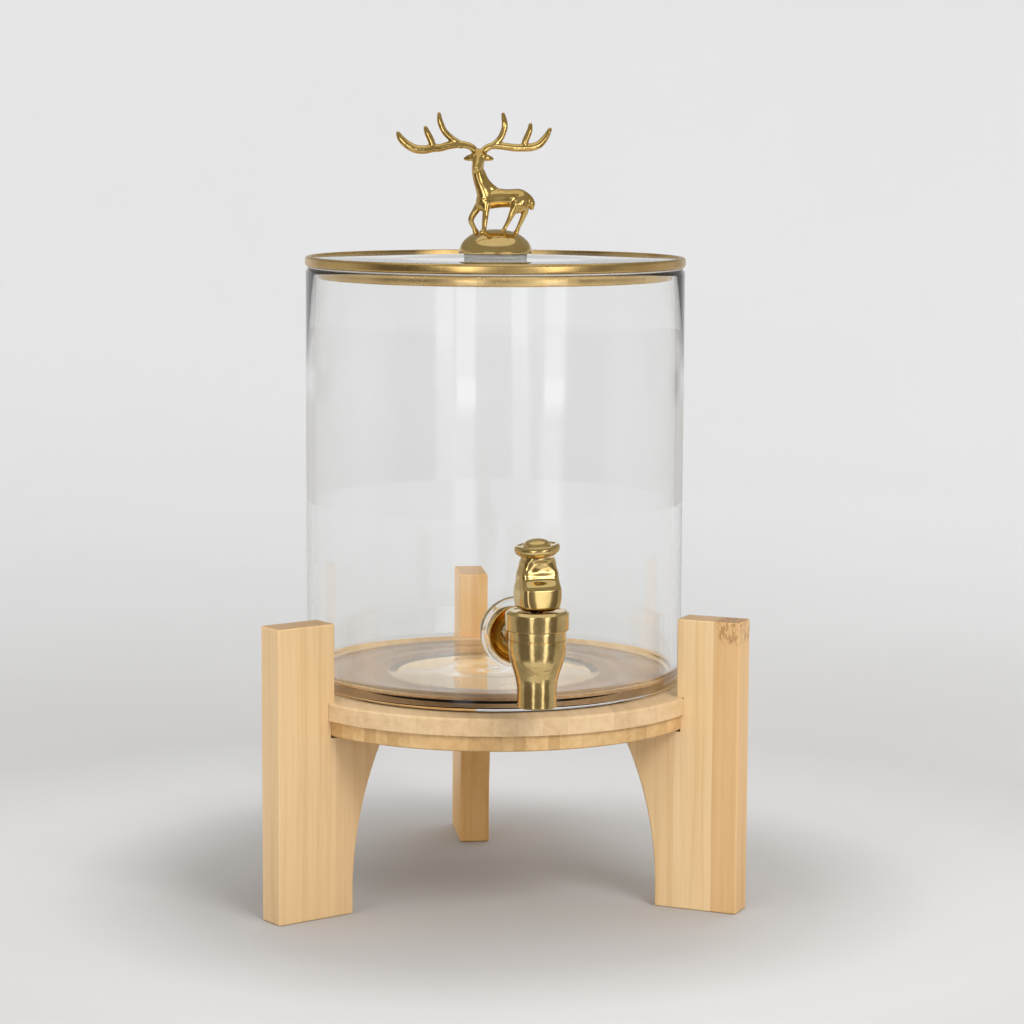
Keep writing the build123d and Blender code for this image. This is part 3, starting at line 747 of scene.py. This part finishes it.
HANDLE_HEIGHT = 23.5
handle_low = low_of("tap_handle").z / MM
cap_low = handle_low + HANDLE_HEIGHT


def ease(value, stations):
    """A smooth curve through (place, value) stations."""
    if value <= stations[0][0]:
        return stations[0][1]
    for (a, at_a), (b, at_b) in zip(stations, stations[1:]):
        if value <= b:
            share = (value - a) / (b - a)
            share = share * share * (3 - 2 * share)
            return at_a + (at_b - at_a) * share
    return stations[-1][1]


# The lever's half width, front, back, thumb hollow and squareness, each by height
HANDLE_HALF = [(0.0, 8.3), (2.2, 9.35), (4.5, 9.7), (7.0, 9.7), (15.0, 9.15), (20.5, 8.1), (23.5, 7.3)]
HANDLE_FRONT = [(0.0, 8.4), (1.6, 9.5), (9.4, 9.5), (10.3, 9.0), (14.6, 6.9), (19.0, 6.5), (23.5, 6.9)]
HANDLE_BACK = [(0.0, 8.0), (1.0, 8.5), (6.5, 8.5), (15.0, 7.4), (23.5, 6.5)]
HANDLE_HOLLOW = [(10.2, 0.0), (14.0, 1.3), (17.5, 1.7), (20.8, 1.0), (23.2, 0.0)]
HANDLE_POWER = [(0.0, 3.4), (9.4, 4.2), (12.0, 3.4), (23.5, 2.5)]


def handle_section(height):
    """One level of the lever: a rounded square with a thumb hollow in its front."""
    half = ease(height, HANDLE_HALF)
    front = ease(height, HANDLE_FRONT)
    back = ease(height, HANDLE_BACK)
    hollow = ease(height, HANDLE_HOLLOW)
    power = 2 / ease(height, HANDLE_POWER)
    section = []
    for k in range(96):
        angle = TAU * k / 96
        cos, sin = math.cos(angle), math.sin(angle)
        x = half * math.copysign(abs(cos) ** power, cos)
        y = math.copysign(abs(sin) ** power, sin)
        y = y * back if y > 0 else y * front
        if y < 0:
            y += hollow * max(0.0, 1 - (x / half / 0.86) ** 2) * min(1.0, -y / front)
        section.append((x, y))
    return section


def tap_handle():
    """The lever's skin, with its lower edge rounded in over the first 1.7 mm."""
    bm = bmesh.new()
    levels = [0.0, 0.25, 0.55, 0.9, 1.3, 1.8] + [2.4 + 0.42 * k for k in range(50)] + [HANDLE_HEIGHT]
    rings = []
    for level in levels:
        scale = 1 - 0.1 * max(0.0, 1 - level / 1.7) ** 2
        rings.append([bm.verts.new(mm(x * scale, y * scale, handle_low + level))
                      for x, y in handle_section(level)])
    skin(bm, rings)
    bmesh.ops.transform(bm, matrix=TAP, verts=bm.verts)
    return new_object("tap_lever_handle", bm)


hinge = Vector(JOINTS["lever_tilt"]["pos_m"])
pin_z = middle_of("tap_pin").z


def slot_cutter():
    """The arc that the pin runs in as the lever rocks. It stops just short of the cheeks' outsides."""
    bm = bmesh.new()
    local_hinge = TAP.inverted() @ hinge
    half_width, half_length = mm(1.45, 9.25)
    top = math.radians(JOINTS["lever_tilt"]["range_deg"][1])
    steps = 12
    centres = []
    for step in range(steps + 1):
        share = step / steps
        angle = top * share
        back, up = -local_hinge.y, pin_z - local_hinge.z + lift * share
        centres.append(Vector((local_hinge.y + back * math.cos(angle) + up * math.sin(angle),
                               local_hinge.z - back * math.sin(angle) + up * math.cos(angle))))
    right, left = [], []
    for i, centre in enumerate(centres):
        ahead = (centres[min(i + 1, steps)] - centres[max(i - 1, 0)]).normalized()
        side = Vector((-ahead.y, ahead.x)) * half_width
        right.append(centre + side)
        left.append(centre - side)
    first, last = centres[0], centres[-1]
    start_way = (centres[1] - first).normalized()
    end_way = (last - centres[-2]).normalized()

    def cap(centre, way, sign):
        """The round end of the slot: half a circle, from its right side to its left."""
        side = Vector((-way.y, way.x)) * half_width
        return [centre + side * math.cos(a) + way * (sign * half_width) * math.sin(a)
                for a in [math.pi * k / 8 for k in range(1, 8)]]

    outline = right + cap(last, end_way, 1) + left[::-1] + cap(first, start_way, -1)[::-1]
    rings = [[bm.verts.new((x, p.x, p.y)) for p in outline] for x in (-half_length, half_length)]
    skin(bm, rings)
    bmesh.ops.transform(bm, matrix=TAP, verts=bm.verts)
    return new_object("slot_cutter", bm)


def box_cutter(foot, size):
    """A rounded upright pocket in the tap's frame, in millimetres, from the middle of its foot."""
    (x, y, z), (width, depth, height) = foot, size
    corner = min(width, depth) / 2 - 0.01
    outline = []
    for quarter, (sx, sy) in enumerate(((1, 1), (-1, 1), (-1, -1), (1, -1))):
        for k in range(7):
            angle = math.radians(90 * quarter + 15 * k)
            outline.append(mm(x + sx * (width / 2 - corner) + corner * math.cos(angle),
                              y + sy * (depth / 2 - corner) + corner * math.sin(angle)))
    return prism("pocket", outline, mm(z), mm(z + height), TAP)


handle = tap_handle()
combine(handle, slot_cutter(), "DIFFERENCE")
combine(handle, box_cutter((0, 2.3, handle_low - 1), (4.7, 10.6, 12.4)), "DIFFERENCE")
smooth(handle, 40)
settle(handle, "tap_lever", "gold", GOLD, "tap_handle")


def cap_outline():
    """The lever's button: a peg, a flared brim and a low dome on top, above the lever's end."""
    corners = [
        (0, -5.6, 0), (2.1, -5.6, 0.3), (2.1, 0.2, 0), (6.2, 0.2, 0.3),
        (7.9, 0.6, 1.2), (9.8, 2.0, 2.0), (10.35, 3.7, 1.2), (9.9, 5.1, 1.0),
        (8.9, 5.4, 0.9), (7.4, 4.9, 0.9), (6.2, 4.9, 0.2)]
    corners += [(5.9 * math.cos(angle), 5.4 + 2.7 * math.sin(angle), 0)
                for angle in (math.radians(a) for a in range(0, 85, 7))]
    corners.append((0, 8.1, 0))
    return softened(corners, 6)


CAP_LEAN = math.radians(4)
CAP_PLACE = TAP @ Matrix.Translation((0, 0, mm(cap_low))) @ Matrix.Rotation(-CAP_LEAN, 4, "Y")
cap = lathe("tap_lever_cap", cap_outline(), CAP_PLACE)
settle(cap, "tap_lever", "gold", GOLD, "tap_handle_cap")


# ---------------------------------------------------------------- lid

rim_z, rim_top, rim_r = turned("lid_rim")
plate_z, plate_top, plate_r = turned("lid_plate")
skirt_z, skirt_top, skirt_r = turned("lid_skirt")

plate = lathe("lid_glass_plate", softened([
    (2.9, plate_z, 0.2), (plate_r, plate_z, 0.5),
    (plate_r, plate_top, 0.5), (2.9, plate_top, 0.2)]), sides=RIM_SIDES)
settle(plate, "lid", "clear_glass", LID_GLASS, "lid_plate")

rim = lathe("lid_gold_rim", softened([
    (84.6, rim_z, 0.2), (rim_r, rim_z, 1.35), (rim_r, rim_top, 1.5),
    (plate_r + 0.05, rim_top, 0.35), (plate_r + 0.05, plate_z, 0), (84.6, plate_z, 0.15)], 8),
    sides=RIM_SIDES)
settle(rim, "lid", "satin_gold", SATIN_GOLD, "lid_rim")

skirt = lathe("lid_gold_band", softened([
    (skirt_r - 1.9, skirt_z, 0.2), (skirt_r, skirt_z, 0.9), (skirt_r, skirt_top, 0.9),
    (skirt_r - 1.9, skirt_top, 0.2)], 7), sides=RIM_SIDES)
settle(skirt, "lid", "satin_gold", SATIN_GOLD, "lid_skirt")

seal = lathe("lid_seal_ring", softened([
    (81.7, skirt_z + 0.1, 0.3), (83.3, skirt_z + 0.1, 0.3), (83.4, rim_z - 1.6, 0.2),
    (84.4, rim_z - 0.75, 0.3), (89.0, rim_z - 0.7, 0.2), (89.4, rim_z - 0.4, 0.1),
    (89.2, rim_z - 0.02, 0.1), (81.7, rim_z - 0.02, 0.2)], 4), sides=RIM_SIDES)
settle(seal, "lid", "clear_silicone", SEAL_SILICONE, "lid_seal")

dome_z = high_of("knob_washer_top").z / MM
_, dome_top, dome_r = turned("knob_dome")

clear_washer = lathe("knob_clear_washer", softened([
    (2.75, plate_top + 0.02, 0.2), (15.0, plate_top + 0.02, 0.6), (15.0, dome_z - 0.02, 0.6),
    (2.75, dome_z - 0.02, 0.2)]))
settle(clear_washer, "lid", "clear_silicone", ACRYLIC, "knob_washer_top")


def dome_outline():
    """A low dome, turned on a lathe and polished, with its screw's blind hole."""
    height = dome_top - dome_z
    hole_r, hole_top = 2.6, dome_z + 7.2
    corners = [(hole_r, dome_z, 0), (dome_r - 0.35, dome_z, 0.1)]
    for step in range(1, 30):
        angle = math.radians(90 * step / 30)
        corners.append((dome_r * math.cos(angle) ** 0.92, dome_z + height * math.sin(angle), 0))
    corners += [(0.0, dome_top, 0), (0.0, hole_top, 0), (hole_r, hole_top, 0)]
    return softened(corners, 4)


dome = lathe("knob_gold_dome", dome_outline())
settle(dome, "lid", "gold", GOLD, "knob_dome")

repaint(SILICONE, "knob_washer_low")
repaint(STEEL, "knob_washer_metal", "knob_screw")


# ---------------------------------------------------------------- stag

# x runs from head to tail, -y is the front, z is height above the table, in millimetres.

def stag_body(bm):
    limb(bm, (-4.6, -0.8, 331.4, 4.6), (0.5, 0.0, 332.3, 4.7), (5.6, 0.4, 332.3, 4.4),
         (10.8, 0.6, 332.2, 4.8))
    ball(bm, (-4.9, -0.8, 331.6), (4.4, 4.0, 5.8), (0, 18, 0))
    ball(bm, (11.4, 0.6, 331.4), (4.8, 4.2, 5.4), (0, -14, 0))
    ball(bm, (11.0, -2.4, 330.0), (3.7, 2.4, 5.0), (0, 24, 0))
    ball(bm, (12.2, 3.4, 330.0), (3.6, 2.2, 4.9), (0, 24, 0))
    ball(bm, (-4.9, -3.0, 330.5), (2.8, 2.0, 4.7))
    ball(bm, (-5.6, 1.8, 330.5), (2.8, 1.9, 4.5))
    limb(bm, (14.0, 0.6, 334.0, 1.6), (15.8, 0.7, 332.0, 1.9), (16.7, 0.8, 329.7, 2.1),
         (17.0, 0.8, 327.9, 1.2))


def stag_neck(bm):
    limb(bm, (-4.4, -0.8, 332.4, 4.4), (-6.0, -1.6, 336.8, 3.6), (-7.8, -2.4, 341.0, 2.9),
         (-8.6, -3.0, 345.2, 2.8), (-8.3, -3.2, 349.6, 3.0))
    limb(bm, (0.6, 0.0, 334.4, 2.6), (-2.2, -0.8, 336.8, 2.4), (-5.0, -1.6, 340.2, 2.1),
         (-7.2, -2.2, 345.4, 1.8))


def stag_head(bm):
    ball(bm, (-8.0, -3.4, 351.5), (3.5, 3.7, 3.5))
    limb(bm, (-8.1, -4.8, 350.6, 3.0), (-8.5, -6.5, 348.2, 2.55), (-8.9, -7.8, 346.5, 2.2),
         (-9.05, -8.4, 345.8, 1.95))
    ball(bm, (-9.05, -9.8, 346.1), (1.4, 0.8, 0.8))
    ball(bm, (-8.5, -5.2, 347.4), (2.1, 3.2, 1.7), (-28, 0, 0))
    for side in (-1, 1):
        ball(bm, (-8.1 + side * 2.1, -6.0, 351.3), (0.9, 0.85, 0.75))
        ball(bm, (-8.1 + side * 2.1, -5.9, 352.5), (1.5, 1.0, 0.6), (0, side * 18, 0))
        limb(bm, (-8.1 + side * 2.2, -3.2, 351.8, 1.7), (-8.1 + side * 4.4, -2.8, 351.3, 1.55),
             (-8.1 + side * 6.2, -2.5, 350.9, 0.95))


def stag_leg(bm, *stations):
    """A slim leg with a knee, ending in a small cloven hoof."""
    limb(bm, *stations)
    x, y, z, radius = stations[-1]
    for side in (-1, 1):
        ball(bm, (x - 0.35, y + side * 0.55, z), (1.35 * radius, 0.75 * radius, radius), (0, 12, 0))


def stag_legs(bm):
    stag_leg(bm, (-4.3, -3.0, 330.0, 2.3), (-4.6, -3.8, 326.0, 1.65), (-5.0, -4.6, 322.0, 1.45),
             (-5.3, -5.2, 318.8, 1.25), (-5.5, -5.7, 316.4, 1.3))
    stag_leg(bm, (-7.0, 1.2, 330.0, 2.4), (-9.6, 1.4, 326.2, 1.75), (-11.7, 1.6, 322.3, 1.45),
             (-10.6, 1.8, 318.8, 1.2), (-9.0, 2.0, 316.2, 1.3))
    stag_leg(bm, (10.0, -2.6, 329.6, 2.8), (8.0, -3.2, 325.6, 1.7), (6.4, -3.8, 322.2, 1.25),
             (4.6, -4.4, 318.8, 1.05), (3.4, -5.0, 316.6, 1.15))
    stag_leg(bm, (13.6, 3.0, 329.6, 2.7), (13.9, 3.4, 326.4, 1.7), (12.4, 3.8, 322.2, 1.25),
             (10.8, 4.1, 318.6, 1.05), (9.8, 4.4, 315.9, 1.15))


def stag_antlers(bm):
    """Two beams with their tines. The one over the tail goes back as it rises and is shorter."""
    limb(bm, (-9.0, -2.6, 353.4, 1.8), (-11.4, -2.7, 356.2, 1.7), (-14.2, -2.8, 357.3, 1.7),
         (-17.7, -2.9, 357.6, 1.8), (-22.3, -3.0, 357.0, 1.9), (-26.4, -3.1, 355.9, 1.9),
         (-29.3, -3.2, 355.8, 1.95), (-33.3, -3.3, 355.1, 2.1), (-37.9, -3.4, 355.4, 2.1),
         (-42.0, -3.5, 357.5, 2.0), (-44.8, -3.6, 360.2, 1.75), (-46.1, -3.7, 362.6, 1.1))
    limb(bm, (-29.6, -3.2, 356.2, 1.7), (-30.6, -3.2, 359.4, 1.65), (-32.1, -3.2, 362.5, 1.55),
         (-33.2, -3.2, 365.2, 1.05))
    limb(bm, (-16.6, -2.9, 357.2, 1.7), (-18.6, -2.9, 358.8, 1.65), (-21.2, -2.9, 360.6, 1.6),
         (-24.4, -2.9, 363.8, 1.55), (-26.3, -2.9, 368.2, 1.45), (-26.8, -2.9, 371.8, 0.95))
    limb(bm, (-7.0, -2.4, 353.4, 1.8), (-3.6, -1.6, 356.3, 1.7), (-0.4, -1.0, 357.0, 1.7),
         (4.2, 0.2, 356.7, 1.8), (8.8, 1.4, 356.1, 1.85), (12.9, 2.5, 356.1, 1.9),
         (16.9, 3.5, 356.4, 1.95), (20.4, 4.4, 357.7, 1.9), (23.2, 5.2, 360.7, 1.65),
         (25.5, 5.8, 364.7, 1.05))
    limb(bm, (-1.2, -1.2, 357.2, 1.6), (1.9, -0.4, 360.2, 1.6), (3.9, 0.0, 364.8, 1.55),
         (4.0, 0.1, 368.2, 1.45), (3.3, 0.1, 371.8, 0.95))
    limb(bm, (13.2, 2.5, 356.4, 1.6), (14.0, 2.6, 359.6, 1.6), (15.7, 2.8, 363.6, 1.45),
         (16.3, 2.9, 366.9, 1.0))
    ball(bm, (-8.0, -2.8, 354.2), (2.8, 1.9, 1.5))


def knob_stag():
    """The limbs are melted together into one cast skin, then eased."""
    bm = bmesh.new()
    for part in (stag_body, stag_neck, stag_head, stag_legs, stag_antlers):
        part(bm)
    bmesh.ops.transform(bm, matrix=LID, verts=bm.verts)
    stag = new_object("knob_cast_stag", bm)
    melt = stag.modifiers.new("melt", "REMESH")
    melt.mode = "VOXEL"
    melt.voxel_size = mm(0.34)
    ease_off = stag.modifiers.new("ease", "SMOOTH")
    ease_off.factor = 0.5
    ease_off.iterations = 4
    bake(stag)
    return smooth(stag, 180)


settle(knob_stag(), "lid", "gold", CAST_GOLD, "knob_stag")


# ---------------------------------------------------------------- floor, backdrop and lights

def studio_bowl():
    """A round floor that curves up into a pale wall, the same seen from every side."""
    flat, bend, top, thick = 1.7, 1.1, 1.9, 0.05
    inside, outside = flat + bend, flat + bend + thick
    outline = [(flat * k / 40, 0.0) for k in range(41)]
    outline += [(flat + bend * math.sin(angle), bend * (1 - math.cos(angle)))
                for angle in (math.radians(a) for a in range(3, 91, 3))]
    outline += [(inside, top), (outside, top), (outside, -thick), (0.0, -thick)]
    return lathe("studio_bowl", outline, sides=128)


def floor_with_painted_shade():
    """Pale paper with painted shade: its tone changes with the distance from the object, the same on every
    side.
    """
    n = Nodes("studio_paper_painted_shade")
    coords = n.add("TexCoord").outputs["Object"]
    distance = n.add("VectorMath", {0: coords}, operation="LENGTH").outputs["Value"]
    # painted shade: darkest under the stand, a lighter ring just outside it, a darker ring about 0.4 m out
    # where the stand's shadow falls, then lighter further out
    tone = n.ramp(n.span(distance, 0.0, 2.9), [
        (0.0, (0.445, 0.436, 0.426)), (0.05, (0.485, 0.476, 0.467)), (0.075, (0.63, 0.623, 0.616)),
        (0.09, (0.63, 0.623, 0.616)), (0.13, (0.56, 0.553, 0.545)), (0.172, (0.58, 0.573, 0.565)),
        (0.31, (0.67, 0.668, 0.665)), (0.517, (0.78, 0.78, 0.782)), (1.0, (0.84, 0.84, 0.845))])
    cloud = n.ramp(n.noise(coords, 3.0, 2.0), [(0.3, (0.0, 0.0, 0.0)), (0.7, (1.0, 1.0, 1.0))])
    shade = n.mix(0.03, tone, cloud, "OVERLAY")
    shader = n.add("BsdfPrincipled", {"Base Color": shade, "Roughness": 0.7, "Specular IOR Level": 0.25})
    return n.finish(shader.outputs[0])


ROOM_R = 1.55
ROOM_EYE_LEVEL = 0.25    # heights in the room's bands are measured from here


def room_material():
    """What polished things reflect: a round room in three bands of height under a dim ceiling.

    Each band has two bright windows in front, dark walls beside them and a paler back. Its
    stops are (degrees from the front, brightness, warmth), and a warmth under 1 is warmer.
    Only rays that have already left a shiny surface see it.
    """
    n = Nodes("mirrored_room")
    coords = n.add("TexCoord").outputs["Object"]
    axes = n.add("SeparateXYZ", {0: coords}).outputs
    turn = n.math("ARCTAN2", axes[X], n.math("MULTIPLY", axes[Y], -1.0))
    share = n.span(turn, -math.pi, math.pi)

    def walls(stops):
        return n.ramp(share, [(0.5 + angle / 360, (v, v * w, v * w * w)) for angle, v, w in stops])

    high = walls([
        (-180, 0.20, 1.0), (-150, 0.18, 1.0), (-141, 0.11, 0.96), (-131, 0.11, 0.96),
        (-122, 0.14, 0.98), (-88, 0.12, 0.98), (-76, 0.035, 0.92), (-42, 0.030, 0.92),
        (-34, 0.12, 1.0), (-29, 0.16, 1.0), (-28, 0.80, 1.0), (-18, 0.80, 1.0), (-17, 0.16, 1.0),
        (-8, 0.10, 1.0), (-4, 0.08, 1.0), (10, 0.12, 1.0), (22, 0.16, 1.0), (23, 0.80, 1.0),
        (34, 0.80, 1.0), (36, 0.12, 1.0), (41, 0.035, 0.92), (60, 0.035, 0.92), (70, 0.12, 0.98),
        (122, 0.14, 0.98), (131, 0.11, 0.96), (141, 0.11, 0.96), (150, 0.18, 1.0),
        (180, 0.20, 1.0)])
    low = walls([
        (-180, 0.18, 0.98), (-122, 0.14, 0.97), (-88, 0.12, 0.97), (-76, 0.045, 0.9), (-38, 0.045, 0.9),
        (-32, 0.08, 0.96), (-28, 0.34, 1.0), (-20, 0.34, 1.0), (-17, 0.08, 0.97), (0, 0.06, 0.96),
        (18, 0.09, 0.97), (23, 0.38, 1.0), (31, 0.38, 1.0), (36, 0.06, 0.9), (60, 0.045, 0.9),
        (70, 0.12, 0.97), (122, 0.14, 0.97), (180, 0.18, 0.98)])
    upper = walls([
        (-180, 0.22, 1.0), (-122, 0.14, 0.98), (-88, 0.09, 0.96), (-76, 0.030, 0.9), (-44, 0.030, 0.9),
        (-38, 1.10, 1.0), (-12, 1.10, 1.0), (-9, 0.05, 0.9), (12, 0.05, 0.9), (16, 1.10, 1.0),
        (40, 1.10, 1.0), (46, 0.030, 0.9), (76, 0.030, 0.9), (88, 0.09, 0.96), (122, 0.14, 0.98),
        (180, 0.22, 1.0)])
    level = n.math("MULTIPLY", n.math("SUBTRACT", axes[Z], ROOM_EYE_LEVEL), 1 / ROOM_R)
    colour = n.mix(n.span(level, -0.100, -0.086), low, high)
    colour = n.mix(n.span(level, 0.10, 0.13), colour, upper)
    colour = n.mix(n.span(level, 0.16, 0.24), colour, (0.085, 0.082, 0.074, 1))
    lamp = n.add("Emission", {"Color": colour, "Strength": 4.0})
    through = n.add("BsdfTransparent")
    path = n.add("LightPath")
    seen = n.math("GREATER_THAN", path.outputs["Glossy Depth"], 0.5)
    mixed = n.add("MixShader", {0: seen, 1: through.outputs[0], 2: lamp.outputs[0]})
    return n.finish(mixed.outputs[0])


def stage_piece(piece, material, *hidden_from):
    """Puts a piece on the stage. hidden_from names the kinds of ray that go through it."""
    paint(piece, material)
    for kind in hidden_from:
        setattr(piece, "visible_" + kind, False)


PAPER_PAINTED_SHADE = floor_with_painted_shade()
stage_piece(studio_bowl(), PAPER_PAINTED_SHADE, "shadow", "glossy")

# The floor that polished things reflect, only as wide as the stand's surroundings
TABLE_R, TABLE_DROP = 0.25, -0.0005
table = lathe("table_near_the_stand", [
    (0.0, 0.0), (TABLE_R, 0.0), (TABLE_R, -0.004), (0.0, -0.004)], sides=96)
table.location.z = TABLE_DROP
stage_piece(table, PAPER_PAINTED_SHADE, "camera", "diffuse", "transmission", "shadow")

ROOM_LOW, ROOM_HIGH, ROOM_OUTER = -0.9, 2.2, ROOM_R + 0.01
room = lathe("mirrored_room", [
    (ROOM_R, ROOM_LOW), (ROOM_R, ROOM_HIGH), (ROOM_OUTER, ROOM_HIGH), (ROOM_OUTER, ROOM_LOW)], sides=128)
stage_piece(room, room_material(), "camera", "diffuse", "shadow")

MIDDLE_OF_OBJECT = Vector((0, 0, 0.16))


def soft_light(name, place, size, power):
    """A soft white lamp that faces the middle of the object and isn't seen itself."""
    data = bpy.data.lights.new(name, "AREA")
    data.shape = "RECTANGLE"
    data.size, data.size_y = size
    data.energy = power
    lamp = bpy.data.objects.new(name, data)
    bpy.context.scene.collection.objects.link(lamp)
    lamp.location = place
    lamp.rotation_euler = (MIDDLE_OF_OBJECT - Vector(place)).to_track_quat("-Z", "Y").to_euler()
    lamp.visible_glossy = False
    lamp.visible_camera = False
    lamp.visible_transmission = False


soft_light("key", (0.7, -1.5, 1.5), (0.8, 0.8), 21.0)
soft_light("fill", (-1.3, -1.2, 1.1), (1.4, 1.4), 8.0)
soft_light("back_wall", (1.0, 0.9, 1.8), (1.4, 1.0), 7.0)

world = bpy.data.worlds.new("studio")
bpy.context.scene.world = world
world.use_nodes = True
sky = world.node_tree.nodes["Background"]
sky.inputs["Color"].default_value = (1.0, 1.0, 1.0, 1)
sky.inputs["Strength"].default_value = 0.82


# ---------------------------------------------------------------- camera

def look(place, heading, pitch, roll):
    """A camera frame from angles in degrees: heading from +Y towards +X, pitch downwards."""
    h, p, r = (math.radians(angle) for angle in (heading, pitch, roll))
    ahead = Vector((math.sin(h) * math.cos(p), math.cos(h) * math.cos(p), -math.sin(p)))
    level = Vector((math.cos(h), -math.sin(h), 0))
    upward = level.cross(ahead)
    right = level * math.cos(r) + upward * math.sin(r)
    up = upward * math.cos(r) - level * math.sin(r)
    matrix = Matrix((right, up, -ahead)).transposed().to_4x4()
    matrix.translation = place
    return matrix


lens = bpy.data.cameras.new("camera")
lens.sensor_width = 36
lens.lens = 104.15
lens.clip_start = 0.05
camera = bpy.data.objects.new("camera", lens)
bpy.context.scene.collection.objects.link(camera)
camera.matrix_world = look((-0.1572, -1.4019, 0.3608), heading=6.74, pitch=7.20, roll=0.275)
bpy.context.scene.camera = camera
bpy.context.scene.view_settings.view_transform = "Standard"
